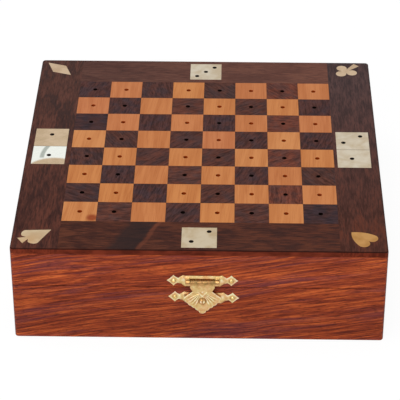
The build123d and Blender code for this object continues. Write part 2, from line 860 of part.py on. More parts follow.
with BuildPart() as die:
    Box(die_side, die_side, die_side)
    fillet(die.edges(), die_corner)
    for direction, pips in die_faces:
        face_centre = Vector(*direction) * (die_side / 2)
        with BuildSketch(Plane(origin=face_centre, z_dir=direction)):
            with Locations(*[(i * die_pip_pitch, j * die_pip_pitch) for i, j in pips]):
                Circle(die_pip_radius)
        extrude(amount=-die_pip_depth, mode=Mode.SUBTRACT)

dice_y = inner_front + dice_well_depth / 2
die_z = floor_top + die_side / 2
with BuildPart() as dice:
    with Locations(Location((left_well_x - die_spacing / 2, dice_y, die_z), (0, 0, 0))):
        add(die.part)
    with Locations(Location((left_well_x + die_spacing / 2, dice_y, die_z), (0, 90, 0))):
        add(die.part)
save(dice, "dice")


# Chessmen: a peg, a foot and a waisted stem are common to all; each kind has its own head
def stem(stem_radius, stem_top, collar_radius):
    shoulder = 0.74 * foot_radius
    with BuildPart(mode=Mode.PRIVATE) as form:
        with BuildSketch(Plane.XZ):
            with BuildLine():
                Polyline(
                    (0, stem_top + collar_height),
                    (0, -peg_length),
                    (peg_radius, -peg_length),
                    (peg_radius, 0),
                    (foot_radius, 0),
                    (foot_radius, foot_height),
                    (shoulder, foot_height + step_height),
                    (shoulder, foot_height + 2 * step_height),
                )
                ThreePointArc(
                    (shoulder, foot_height + 2 * step_height),
                    (0.45 * shoulder + 0.55 * stem_radius, foot_height + 2 * step_height + stem_flare),
                    (stem_radius, stem_top),
                )
                Polyline(
                    (stem_radius, stem_top),
                    (collar_radius, stem_top),
                    (collar_radius, stem_top + collar_height),
                    (0, stem_top + collar_height),
                )
            make_face()
        revolve(axis=Axis.Z)
    return form.part


def pawn():
    neck_z = pawn_height - 2 * pawn_head_radius
    with BuildPart() as man:
        add(stem(pawn_stem_radius, neck_z - collar_height / 2, pawn_collar_radius))
        with Locations((0, 0, pawn_height - pawn_head_radius)):
            Sphere(pawn_head_radius)
    return man.part


def rook():
    turret_z = rook_height - turret_height
    with BuildPart() as man:
        add(stem(rook_stem_radius, turret_z - collar_height, rook_collar_radius))
        with Locations((0, 0, turret_z)):
            Cylinder(turret_radius, turret_height, align=(Align.CENTER, Align.CENTER, Align.MIN))
        with Locations((0, 0, rook_height)):
            Cylinder(turret_bore_radius, 2 * turret_bore_depth, mode=Mode.SUBTRACT)
            for turn in (0, 90):
                Box(
                    2.4 * turret_radius,
                    crenel_width,
                    2 * crenel_depth,
                    rotation=(0, 0, turn),
                    mode=Mode.SUBTRACT,
                )
    return man.part


# The horse's head is drawn in shares of its own height, above the stem's collar.
def knight():
    head = knight_height - knight_neck_height

    def at(x, z):
        return (x * head, knight_neck_height + z * head)

    with BuildPart() as man:
        add(stem(knight_stem_radius, knight_neck_height - collar_height, knight_collar_radius))
        with BuildSketch(Plane.XZ):
            with BuildLine():
                Line(at(-0.23, 0), at(0.20, 0))
                ThreePointArc(at(0.20, 0), at(0.08, 0.24), at(0.10, 0.43))
                Polyline(
                    at(0.10, 0.43),
                    at(0.27, 0.37),
                    at(0.36, 0.44),
                    at(0.33, 0.56),
                    at(0.18, 0.78),
                    at(0.08, 0.86),
                    at(0.03, 1),
                    at(-0.06, 0.88),
                )
                ThreePointArc(at(-0.06, 0.88), at(-0.27, 0.55), at(-0.23, 0))
            make_face()
        extrude(amount=knight_half_thickness, both=True)
    return man.part


def bishop():
    shoulder_z = bishop_height - mitre_bead_radius - mitre_height
    mitre_top = bishop_height - mitre_bead_radius
    mitre_foot = 0.6 * mitre_radius
    with BuildPart() as man:
        add(stem(bishop_stem_radius, shoulder_z, bishop_collar_radius))
        with BuildSketch(Plane.XZ):
            with BuildLine():
                Polyline((0, mitre_top), (0, shoulder_z), (mitre_foot, shoulder_z))
                ThreePointArc(
                    (mitre_foot, shoulder_z),
                    (mitre_radius, shoulder_z + 0.43 * mitre_height),
                    (0, mitre_top),
                )
            make_face()
        revolve(axis=Axis.Z)
        with Locations((0, 0, mitre_top)):
            Sphere(mitre_bead_radius)
        cut_z = shoulder_z + 0.68 * mitre_height
        with Locations(Location((0.7 * mitre_radius, 0, cut_z), (0, mitre_cut_turn, 0))):
            Box(mitre_cut_width, 2.2 * mitre_radius, 1.3 * mitre_radius, mode=Mode.SUBTRACT)
    return man.part


# The queen and the king share a flared crown, which stands on its own collar.
def crown(crown_top):
    crown_bottom = crown_top - crown_height
    with BuildPart(mode=Mode.PRIVATE) as form:
        with BuildSketch(Plane.XZ):
            with BuildLine():
                Polyline((0, crown_top), (0, crown_bottom), (crown_foot_radius, crown_bottom))
                ThreePointArc(
                    (crown_foot_radius, crown_bottom),
                    (crown_waist_radius, crown_top - crown_height / 2),
                    (crown_radius, crown_top),
                )
                Line((crown_radius, crown_top), (0, crown_top))
            make_face()
        revolve(axis=Axis.Z)
    return form.part


def queen():
    crown_top = queen_height - queen_dome_radius
    with BuildPart() as man:
        add(stem(queen_stem_radius, crown_top - crown_height, queen_collar_radius))
        add(crown(crown_top))
        with Locations((0, 0, crown_top)):
            with PolarLocations(crown_radius + queen_notch_radius / 3, queen_points):
                Cylinder(queen_notch_radius, 2 * queen_notch_depth, mode=Mode.SUBTRACT)
            Sphere(queen_dome_radius)
    return man.part


def king():
    crown_top = king_height - cross_height
    standing = (Align.CENTER, Align.CENTER, Align.MIN)
    with BuildPart() as man:
        add(stem(king_stem_radius, crown_top - crown_height, king_collar_radius))
        add(crown(crown_top))
        with Locations((0, 0, crown_top)):
            Cone(king_cap_radius, king_cap_radius / 3, king_cap_height, align=standing)
            Box(cross_bar, cross_bar, cross_height, align=standing)
        with Locations((0, 0, king_height - 1.5 * cross_bar)):
            Box(cross_width, cross_bar, cross_bar)
    return man.part


# Each man with the radius and the height at which its head touches the floor when it lies down
men = {
    "pawn": (pawn(), pawn_height, pawn_head_radius, pawn_height - pawn_head_radius),
    "rook": (rook(), rook_height, turret_radius, rook_height),
    "knight": (knight(), knight_height, knight_half_thickness, knight_height),
    "bishop": (bishop(), bishop_height, mitre_radius, bishop_height - 0.7 * mitre_height),
    "queen": (queen(), queen_height, crown_radius, queen_height - queen_dome_radius),
    "king": (king(), king_height, crown_radius, king_height - cross_height),
}
back_rank = {
    "rook": (0, 7),
    "knight": (1, 6),
    "bishop": (2, 5),
    "queen": (3,),
    "king": (4,),
}
rows = {"light": (0, 1), "dark": (3, 2)}
row_depth = inner_depth / 4
column_width = chess_well_width / squares_per_side


# A man lies with its foot's rim and its head on the floor of the well and its head to the back.
def lying(kind, column, row):
    form, height, head_radius, head_at = men[kind]
    droop = atan2(foot_radius - head_radius, head_at - foot_height)
    x = chess_well_left + (column + 0.5) * column_width
    y = inner_front + (row + 0.5) * row_depth - (height - peg_length) / 2
    z = floor_top + rest_gap + foot_radius * cos(droop) + foot_height * sin(droop)
    return Location((x, y, z), (-90 - degrees(droop), 0, 0))


for colour, (officer_row, pawn_row) in rows.items():
    with BuildPart() as pawns:
        with Locations(*[lying("pawn", column, pawn_row) for column in range(squares_per_side)]):
            add(men["pawn"][0])
    save(pawns, f"{colour}_pawns")
    for kind, columns in back_rank.items():
        with BuildPart() as officers:
            with Locations(*[lying(kind, column, officer_row) for column in columns]):
                add(men[kind][0])
        save(officers, f"{colour}_{kind}s" if len(columns) > 1 else f"{colour}_{kind}")
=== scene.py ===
"""Travelling chess box: rosewood boards, an inlaid peg board for a lid and an ornate brass hasp.

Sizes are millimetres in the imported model's own frame, and turn to metres where a mesh, a lamp or a
pattern is made. The front looks towards -Y.
"""

import json
import math
from functools import partial

import bmesh
import bpy
import numpy as np
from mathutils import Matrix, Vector


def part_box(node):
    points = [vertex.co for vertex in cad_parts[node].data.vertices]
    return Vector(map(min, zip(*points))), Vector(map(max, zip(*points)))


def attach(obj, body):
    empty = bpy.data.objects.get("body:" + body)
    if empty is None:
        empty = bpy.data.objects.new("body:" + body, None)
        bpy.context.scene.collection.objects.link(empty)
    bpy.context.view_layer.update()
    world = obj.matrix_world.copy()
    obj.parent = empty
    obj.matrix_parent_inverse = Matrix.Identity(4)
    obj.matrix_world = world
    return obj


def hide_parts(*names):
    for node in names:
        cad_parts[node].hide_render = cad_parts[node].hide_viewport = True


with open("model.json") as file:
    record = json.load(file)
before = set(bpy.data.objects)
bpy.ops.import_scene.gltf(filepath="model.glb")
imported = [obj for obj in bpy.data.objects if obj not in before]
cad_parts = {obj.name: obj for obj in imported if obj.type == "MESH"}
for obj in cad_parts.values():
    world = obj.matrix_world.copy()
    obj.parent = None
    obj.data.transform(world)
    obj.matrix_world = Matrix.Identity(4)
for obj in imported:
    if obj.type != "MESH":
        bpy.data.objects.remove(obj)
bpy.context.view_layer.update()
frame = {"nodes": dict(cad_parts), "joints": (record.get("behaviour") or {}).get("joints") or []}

MM = 0.001


def box_mm(name):
    """The lowest and the highest corner of a node, in mm."""
    return np.array([list(corner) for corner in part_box(name)]) / MM


front_y = box_mm("lid_front_wall")[0, 1]
box_top = box_mm("left_border")[1, 2]
hasp_axis = next(joint["pos_m"] for joint in frame["joints"] if joint["name"] == "hasp_hinge")
latch_x, hasp_axis_y, hasp_axis_z = [v / MM for v in hasp_axis]
axis_proud = front_y - hasp_axis_y

# Playing board
square = 14.3
squares_per_side = 8

# Latch plates
plate_thickness = 0.7
plate_edge_height = 0.3
lid_plate_z = 30.2
catch_plate_z = 21.8
catch_shift = 0.5
catch_turn = math.radians(-1.2)
finial_centre = 11.8
screw_head_radius = 0.95

# Hasp, as widths and drops from its axis
hasp_back, hasp_front = 1.6, 2.2
tongue = [(5.0, 0), (5.0, -2.9), (4.0, -4.6)]
scallops = [(7.5, -7.6), (7.1, -8.9), (6.0, -10.6), (4.5, -11.9), (3.0, -13.0), (1.5, -14.4),
            (0, -15.8)]
scallop_bulges = [0.3, 0.3, 0.3, 0.3, 0.3, 0.34]
fan_centre_drop = 4.6
knob_drop = 9.3
knob_radius = 1.35
eye_radius = 0.9

# Ways that grain runs, as turns of a pattern's x axis
along_x = (0, 0, 0)
along_y = (0, 0, math.pi / 2)
rising_x = (0, -math.radians(9), 0)
rising_y = (0, math.radians(4), math.pi / 2)


def linear(code):
    """The linear colour, with alpha, of six sRGB hex digits."""
    channels = np.array([int(code[i:i + 2], 16) for i in (0, 2, 4)]) / 255
    toe = channels / 12.92
    curve = ((channels + 0.055) / 1.055) ** 2.4
    return (*np.where(channels <= 0.04045, toe, curve), 1.0)


def fill_inputs(tree, node, inputs):
    """Gives each named input its value, or a link from a socket or from a node's first output."""
    for name, value in inputs.items():
        if isinstance(value, bpy.types.Node):
            value = value.outputs[0]
        if isinstance(value, bpy.types.NodeSocket):
            tree.links.new(value, node.inputs[name])
        else:
            node.inputs[name].default_value = value


def add_node(tree, kind, inputs=None, stops=(), **settings):
    """Adds a node: its settings first, then its ramp's stops, then its inputs' values and links."""
    node = tree.nodes.new("ShaderNode" + kind)
    for name, value in settings.items():
        setattr(node, name, value)
    for index, (position, code) in enumerate(stops):
        elements = node.color_ramp.elements
        element = elements[index] if index < 2 else elements.new(position)
        element.position = position
        element.color = linear(code)
    fill_inputs(tree, node, inputs or {})
    return node


def new_material(name, roughness, specular=0.5, metallic=0.0):
    """A material with constants on its shader, what adds nodes to it, and its Object coordinates."""
    material = bpy.data.materials.new(name)
    material.use_nodes = True
    tree = material.node_tree
    fill_inputs(tree, tree.nodes["Principled BSDF"], {
        "Roughness": roughness, "Specular IOR Level": specular, "Metallic": metallic,
    })
    add = partial(add_node, tree)
    return material, add, add("TexCoord").outputs["Object"]


def coat(material, colour, height, depth, gloss=None):
    """Gives a material its colour, a bump of a depth in mm from a height from 0 to 1, and a gloss."""
    tree = material.node_tree
    inputs = {"Base Color": colour}
    inputs["Normal"] = add_node(tree, "Bump", {"Height": height, "Distance": depth * MM})
    if gloss:
        inputs["Roughness"] = gloss
    fill_inputs(tree, tree.nodes["Principled BSDF"], inputs)
    return material


def grain_noise(add, place, turn, size, detail=2.0, distortion=0.0):
    """Noise drawn out along the grain: how many mm one swell runs along, across and through it."""
    drawn = add("Mapping", {
        "Vector": place,
        "Rotation": turn,
        "Scale": [length * MM for length in size],
    }, vector_type="TEXTURE")
    return add("TexNoise", {
        "Vector": drawn, "Scale": 1.0, "Detail": detail, "Distortion": distortion,
    })


def grain_tones(add, place, turn, size, stops, detail=2.0, distortion=0.0):
    """A ramp of tones over noise drawn out along the grain."""
    noise = grain_noise(add, place, turn, size, detail, distortion)
    return add("ValToRGB", {"Fac": noise}, stops=stops)


def share_between(add, place, axis, start, end):
    """How far a point lies from one place in mm to another along an axis, from 0 to 1."""
    along = add("SeparateXYZ", {"Vector": place}).outputs[axis]
    return add("MapRange", {"Value": along, "From Min": start * MM, "From Max": end * MM})


def layered(add, colour, *layers):
    """Lays layers on a colour in turn: each is its share, its own colour and how they are mixed."""
    for share, over, kind in layers:
        over = linear(over) if isinstance(over, str) else over
        mixed = add("Mix", {0: share, 6: colour, 7: over}, data_type="RGBA", blend_type=kind)
        colour = mixed.outputs[2]
    return colour


def facing(add, axis):
    """How far a surface faces along an axis of the object, from 0 to 1."""
    split = add("SeparateXYZ", {"Vector": add("TexCoord").outputs["Normal"]})
    return add("Math", {0: split.outputs[axis]}, operation="ABSOLUTE")


def pores(add, place, turn, length, width):
    """Short dark pores along the grain: 0 in a pore and 1 between them."""
    stops = ((0.33, "6A6A6A"), (0.44, "FFFFFF"))
    return grain_tones(add, place, turn, (length, width, width), stops, detail=1.0)


# Sheesham, planed and waxed: crisp orange and brown streaks half a millimetre to two wide that wander
# a little, with plum clouds drawn out along them. It has painted shade by height, darkest a little
# above its pale bottom edge, and the ends of the boards show darker end grain.
def rosewood(name, turn, end_axis):
    material, add, place = new_material(name, 0.48, 0.1)
    wander = grain_noise(add, place, turn, (62, 30, 26), detail=1.0)
    sway = add("VectorMath", {0: wander.outputs["Color"], 1: (0, 4 * MM, 7 * MM)}, operation="MULTIPLY")
    bent = add("VectorMath", {0: place, 1: sway}, operation="ADD")
    streaks = grain_noise(add, bent, turn, (44, 2.2, 1.5), detail=4.0)
    veins = grain_noise(add, bent, turn, (12, 0.8, 0.5), detail=3.0)
    both = add("Mix", {"Factor": 0.6, "A": streaks, "B": veins})
    colour = add("ValToRGB", {"Fac": both}, stops=(
        (0.39, "6C291A"), (0.45, "86361E"), (0.50, "9A4222"), (0.55, "AE4E27"), (0.61, "C86230"),
    ))
    cloud = grain_noise(add, bent, turn, (52, 20, 8), distortion=0.4)
    thread = grain_noise(add, bent, turn, (30, 3, 1.1))
    in_cloud = add("Mix", {"Factor": 0.45, "A": cloud, "B": thread})
    plum = add("ValToRGB", {"Fac": in_cloud}, stops=((0.515, "000000"), (0.63, "B4B4B4")))
    # painted shade by height: darker a little above the pale bottom edge, and slightly near the top
    weather = add("ValToRGB", {"Fac": share_between(add, place, "Z", 0, box_top)}, stops=(
        (0.03, "FFFFFF"), (0.07, "DEDADA"), (0.45, "E6E2E0"), (0.68, "FFFFFF"), (0.96, "ECE8E8"),
    ))
    pore = pores(add, bent, turn, 2.4, 0.3)
    at_end = add("ValToRGB", {"Fac": facing(add, end_axis)}, stops=((0.80, "000000"), (0.92, "FFFFFF")))
    end_grain = grain_tones(add, place, along_x, (2.6, 2.6, 0.9),
                            ((0.38, "451D13"), (0.62, "76351F")), detail=4.0, distortion=0.6)
    wood = layered(add, colour, (plum, "5E3140", "MIX"), (1.0, weather, "MULTIPLY"),
                   (0.5, pore, "MULTIPLY"), (at_end, end_grain, "MIX"))
    return coat(material, wood, pore, 0.03)


# Darker rosewood for the border: quiet plum-brown with fine figure that turns from one tone to another
# along the strip. Its sawn edge is painted redder and lighter than its top, as painted light from the
# front, under a dark line where the corner is rubbed round.
def border_wood(name, turn, axis, first, last, mark=None):
    material, add, place = new_material(name, 0.55, 0.05)
    swells = grain_noise(add, place, turn, (16, 5.0, 6), detail=4.0, distortion=0.8)
    veins = grain_noise(add, place, turn, (5, 0.8, 2), detail=3.0, distortion=0.3)
    both = add("Mix", {"Factor": 0.5, "A": swells, "B": veins})
    low, high = [add("ValToRGB", {"Fac": both}, stops=zip((0.41, 0.50, 0.59), tones))
                 for tones in (first, last)]
    colour = layered(add, low, (share_between(add, place, axis, -60, 60), high, "MIX"))
    if mark:
        colour = mark(add, place, colour)
    pore = pores(add, place, turn, 3.6, 0.24)
    level = facing(add, "Z")
    # painted light: upright faces are painted redder and lighter than the top, with a dark line on the
    # rounded corner
    sawn = add("ValToRGB", {"Fac": level}, stops=((0.10, "742F1C"), (0.45, "30120B")))
    off_top = add("ValToRGB", {"Fac": level}, stops=((0.86, "FFFFFF"), (0.985, "000000")))
    shade = add("ValToRGB", {"Fac": both}, stops=((0.38, "B4ACA8"), (0.60, "FFFFFF")))
    edge = layered(add, sawn, (1.0, shade, "MULTIPLY"))
    wood = layered(add, colour, (0.5, pore, "MULTIPLY"), (off_top, edge, "MIX"))
    return coat(material, wood, pore, 0.02)


# The front strip has a pale slanting streak of sapwood beside a dark patch. Each fades in and out at
# four distances in mm to the left of the streak's heading, after noise has added up to mark_wander.
streak_middle = (-21.3, -67.8)
streak_heading = math.atan2(19.1, 8.0)
streak_distances = (-0.37, 0.36, 1.27, 2.0)
patch_distances = (1.45, 2.55, 10.74, 14.02)
mark_from, mark_to = -2.0, 16.2
mark_wander = 2.4


def front_strip_mark(add, place, colour):
    local = add("Mapping", {
        "Vector": place,
        "Location": [v * MM for v in (*streak_middle, 0)],
        "Rotation": (0, 0, streak_heading),
        "Scale": (MM, MM, MM),
    }, vector_type="TEXTURE")
    wave = grain_noise(add, place, (0, 0, streak_heading), (9, 5, 9))
    aside = add("SeparateXYZ", {"Vector": local}).outputs["Y"]
    ragged = add("Math", {0: wave, 1: mark_wander, 2: aside}, operation="MULTIPLY_ADD")
    span = add("MapRange", {"Value": ragged, "From Min": mark_from, "From Max": mark_to})
    for distances, share, tone in ((patch_distances, "E4E4E4", "221818"),
                                   (streak_distances, "969696", "7C4430")):
        stops = [(distance - mark_from) / (mark_to - mark_from) for distance in distances]
        shown = add("ValToRGB", {"Fac": span}, stops=zip(stops, ("000000", share, share, "000000")))
        colour = layered(add, colour, (shown, tone, "MIX"))
    return colour


def by_square(add, place, most_turn, odd_file):
    """For each square, a random number, coordinates turned and shifted, and 1 in one odd file."""
    half_field = squares_per_side * square / 2 * MM
    from_corner = add("VectorMath", {0: place, 1: (half_field, half_field, 0)}, operation="ADD")
    in_squares = add("VectorMath", {0: from_corner, "Scale": 1 / (square * MM)}, operation="SCALE")
    cell = add("VectorMath", {0: in_squares}, operation="FLOOR")
    file = add("SeparateXYZ", {"Vector": cell}).outputs["X"]
    in_file = add("Math", {0: file, 1: odd_file, 2: 0.5}, operation="COMPARE")
    chance = add("TexWhiteNoise", {"Vector": cell}, noise_dimensions="2D")
    angle = add("Math", {0: chance, 1: most_turn}, operation="MULTIPLY")
    turned_place = add("VectorRotate", {"Vector": place, "Angle": angle}, rotation_type="Z_AXIS")
    shifted = add("VectorMath", {0: turned_place, 1: chance.outputs["Color"]}, operation="ADD")
    return chance, shifted, in_file


clean_depth, dirty_depth = 0.02, 0.08


def down_a_hole(add, place):
    """0 on the board's face and 1 from a small depth on, down the walls of the holes."""
    return share_between(add, place, "Z", box_top - clean_depth, box_top - dirty_depth)


# Haldu squares: close-grained yellow-orange wood, each cut from another piece, one with a resin mark.
# The squares that have no hole, all in one file, were cut from a pinker board.
resin_mark = (-44.6, -54.6)
resin_core, resin_reach = 1.2, 3.4
undrilled_file = 2


def light_square_wood():
    material, add, place = new_material("haldu_squares", 0.5, 0.08)
    chance, local, pinker = by_square(add, place, 0.12, undrilled_file)
    mixed_tone = add("ValToRGB", {"Fac": chance}, stops=(
        (0.05, "B97349"), (0.35, "BD7A48"), (0.65, "BE7B46"), (0.95, "C28250"),
    ))
    band = grain_tones(add, local, along_y, (40, 3.0, 6), ((0.38, "E6D6C8"), (0.60, "FFFFFF")),
                       distortion=0.3)
    vein = grain_tones(add, local, along_y, (12, 0.5, 1.5), ((0.32, "DCC4B0"), (0.50, "FFFFFF")))
    near = add("VectorMath", {0: place, 1: [v * MM for v in (*resin_mark, box_top)]},
               operation="DISTANCE")
    resin = add("MapRange", {
        "Value": near.outputs["Value"], "From Min": resin_core * MM, "From Max": resin_reach * MM,
        "To Min": 0.9, "To Max": 0.0,
    }, interpolation_type="SMOOTHSTEP")
    wood = layered(add, mixed_tone, (pinker, "BB7747", "MIX"), (0.6, band, "MULTIPLY"),
                   (0.4, vein, "MULTIPLY"), (resin, "823414", "MIX"),
                   (down_a_hole(add, place), "A03C08", "MIX"))
    return coat(material, wood, vein, 0.01)


# Dark rosewood squares: each with its own tone and its own direction of grain, and one file redder.
redder_file = 6


def dark_square_wood():
    material, add, place = new_material("dark_rosewood_squares", 0.55, 0.05)
    chance, local, redder = by_square(add, place, 3.1, redder_file)
    mixed_tone = add("ValToRGB", {"Fac": chance}, stops=(
        (0.05, "483334"), (0.30, "5A3C34"), (0.55, "503736"), (0.80, "5D3C34"), (0.97, "664137"),
    ))
    streak = grain_tones(add, local, along_x, (5, 0.9, 2),
                         ((0.36, "A29490"), (0.50, "E2DAD6"), (0.64, "FFFFFF")),
                         detail=4.0, distortion=0.6)
    cloud = grain_tones(add, local, along_x, (5, 4, 4), ((0.40, "D0DCF0"), (0.60, "FFE8DC")),
                        detail=3.0)
    pore = pores(add, local, along_x, 1.8, 0.26)
    # the walls of the holes are painted near black, as painted shade
    wood = layered(add, mixed_tone, (redder, "704438", "MIX"), (0.85, streak, "MULTIPLY"),
                   (0.9, cloud, "MULTIPLY"), (0.55, pore, "MULTIPLY"),
                   (down_a_hole(add, place), "100806", "MIX"))
    return coat(material, wood, pore, 0.02)


# Any plainer timber: two tones in long swells, with fine pores.
def timber(name, turn, tones, size, roughness, specular):
    material, add, place = new_material(name, roughness, specular)
    colour = grain_tones(add, place, turn, size, zip((0.38, 0.62), tones), 3.0, 0.3)
    pore = pores(add, place, turn, 2.4, 0.2)
    return coat(material, layered(add, colour, (0.3, pore, "MULTIPLY")), pore, 0.01)


# Brass, rubbed down and handled: faint cloudy tarnish in the colour and hair scratches in the gloss.
# In the drilled plates the walls of the pips are as black as the wax in them.
def brass(name, tones, roughness, scratch_turn=(0, 0, 0.4), cloud=6.0, mark=None, drilled=False):
    material, add, place = new_material(name, roughness, metallic=1.0)
    colour = grain_tones(add, place, along_x, [cloud] * 3, zip((0.36, 0.62), tones), 3.0, 0.4)
    if mark:
        colour = mark(add, place, colour)
    if drilled:
        colour = layered(add, colour, (down_a_hole(add, place), "080504", "MIX"))
    scratches = grain_noise(add, place, scratch_turn, (9, 0.16, 0.16))
    gloss = add("MapRange", {
        "Value": scratches, "From Min": 0.35, "From Max": 0.65,
        "To Min": roughness - 0.07, "To Max": roughness + 0.09,
    })
    return coat(material, colour, scratches, 0.004, gloss)


# The left domino's front half is painted nearly white as a painted reflection of a lamp, up to an arc
# at its foot, and has a curved grey painted reflection beside its pip.
dull_arc_centre, dull_arc_radius = (-63.7, -22.0), 13.1
smear_centre, smear_radius = (-48.3, -8.2), 21.2
smear_half_width, smear_foot = 0.75, -8.8
burnished_edge = 0.7


def distance_band(add, place, centre, stops, nearest, furthest):
    """A ramp over the distance from an upright axis, between two radii in mm."""
    flat = add("VectorMath", {0: place, 1: (1, 1, 0)}, operation="MULTIPLY")
    away = add("VectorMath", {0: flat, 1: [v * MM for v in (*centre, 0)]}, operation="DISTANCE")
    share = add("MapRange", {
        "Value": away.outputs["Value"], "From Min": nearest * MM, "From Max": furthest * MM,
    })
    return add("ValToRGB", {"Fac": share}, stops=stops)


def burnished_half(add, place, colour):
    depth = add("SeparateXYZ", {"Vector": place}).outputs["Y"]
    front = add("Math", {0: depth, 1: burnished_edge * MM}, operation="LESS_THAN")
    above_arc = distance_band(add, place, dull_arc_centre, ((0.0, "000000"), (1.0, "FFFFFF")),
                              dull_arc_radius - 0.5, dull_arc_radius + 0.7)
    white = add("Math", {0: front, 1: above_arc}, operation="MULTIPLY")
    reach = smear_half_width + 0.5
    smear = distance_band(add, place, smear_centre,
                          ((0.0, "000000"), (0.25, "E0E0E0"), (0.75, "E0E0E0"), (1.0, "000000")),
                          smear_radius - reach, smear_radius + reach)
    fade = share_between(add, place, "Y", smear_foot - 0.6, smear_foot + 0.6)
    seen = add("Math", {0: smear, 1: fade}, operation="MULTIPLY")
    within = add("Math", {0: seen, 1: white}, operation="MULTIPLY")
    # painted reflections: white over the front half above the arc, and a grey band beside the pip
    return layered(add, colour, (white, "E8EAE2", "MIX"), (within, "8C948A", "MIX"))


# The spade's sheet is golden on the side of its stem.
golden_centre, golden_reach = (-69.5, -72.5), 7.5


def golden_corner(add, place, colour):
    golden = distance_band(add, place, golden_centre, ((0.2, "9C9C9C"), (1.0, "000000")),
                           0, golden_reach)
    return layered(add, colour, (golden, "BC8C54", "MIX"))


# Stamped and lacquered brass: tan and tarnished in the hollows, with painted shade there too, and paler
# on ridges and edges, as wear and painted highlights, which the pieces' own attribute tells, with faint
# pink and green painted reflections.
def lacquered_stamping():
    material, add, place = new_material("stamped_latch_brass", 0.3, metallic=1.0)
    # the attribute holds wear together with painted highlights and painted shade
    rubbed = add("Attribute", attribute_name="rubbed")
    clouds = grain_noise(add, place, along_x, (1.5, 1.5, 1.5), detail=3.0, distortion=0.5)
    uneven = add("Math", {0: clouds, 1: 0.7, 2: -0.35}, operation="MULTIPLY_ADD")
    level = add("Math", {0: rubbed.outputs["Fac"], 1: uneven}, operation="ADD")
    tone = add("ValToRGB", {"Fac": level}, stops=(
        (0.02, "70583A"), (0.25, "B08A58"), (0.45, "D2AB75"), (0.62, "DEC28F"), (0.90, "F6EACC"),
    ))
    # faint pink and green painted reflections
    tint = grain_tones(add, place, along_x, [3.2] * 3, ((0.40, "FAFFF0"), (0.60, "FFF0EA")))
    return coat(material, layered(add, tone, (0.8, tint, "MULTIPLY")), clouds, 0.01)


# Black stopping wax, pressed into the pips and cut level: dull, with faint brown mottling.
def stopping_wax():
    material, add, place = new_material("black_pip_wax", 0.6, 0.03)
    clouds = grain_noise(add, place, along_x, (3.0, 3.0, 3.0), detail=3.0)
    colour = add("ValToRGB", {"Fac": clouds}, stops=((0.35, "080403"), (0.65, "160C08")))
    return coat(material, colour, clouds, 0.004)


# Bone, polished, with black paint at the bottom of each drilled pip and of each groove. A pip's floor
# is the only surface that lies this far out along the way that it faces.
def painted_bone(name, paint):
    material, add, place = new_material(name, 0.32, 0.45)
    growth = grain_noise(add, place, along_x, (9, 1.2, 1.2), detail=3.0)
    bone_tone = add("ValToRGB", {"Fac": growth}, stops=((0.35, "E2D8BE"), (0.60, "F0E9D8")))
    painted = layered(add, bone_tone, (paint(add, place), "17120F", "MIX"))
    return coat(material, painted, growth, 0.004)


domino_pitch, domino_pip_floor = 3.05, 2.7
die_spacing, die_pip_floor = 14.0, 4.65
paint_reach = 0.06


def domino_paint(add, place):
    """1 on level surfaces at the pips' floor height in any layer of the stacked dominoes."""
    height = add("SeparateXYZ", {"Vector": place}).outputs["Z"]
    bottom = box_mm("dominoes")[0, 2]
    up = add("MapRange", {
        "Value": height, "From Min": bottom * MM, "From Max": (bottom + domino_pitch) * MM,
        "To Max": domino_pitch,
    }, clamp=False)
    in_tile = add("Math", {0: up, 1: domino_pitch}, operation="MODULO")
    at_floor = add("Math", {0: in_tile, 1: domino_pip_floor, 2: paint_reach}, operation="COMPARE")
    level = add("Math", {0: facing(add, "Z"), 1: 0.5}, operation="GREATER_THAN")
    return add("Math", {0: at_floor, 1: level}, operation="MULTIPLY")


def dice_paint(add, place):
    """1 where a surface lies at the pips' floor, measured from a die's middle along its own normal."""
    centre = box_mm("dice").mean(axis=0)
    normal = add("TexCoord").outputs["Normal"]
    local = add("VectorMath", {0: place, 1: centre * MM}, operation="SUBTRACT")
    outward = add("VectorMath", {0: local}, operation="ABSOLUTE")
    folded = add("VectorMath", {0: outward, 1: (die_spacing / 2 * MM, 0, 0)}, operation="SUBTRACT")
    within = add("VectorMath", {0: folded}, operation="ABSOLUTE")
    heading = add("VectorMath", {0: normal}, operation="ABSOLUTE")
    out = add("VectorMath", {0: within, 1: heading}, operation="DOT_PRODUCT").outputs["Value"]
    return add("Math", {0: out, 1: die_pip_floor * MM, 2: paint_reach * MM}, operation="COMPARE")


# Coated playing cards: white edges that show as thin lines, and a red lattice printed on the back of
# the top one inside a white margin.
card_margin, lattice_pitch = 4.0, 3.6


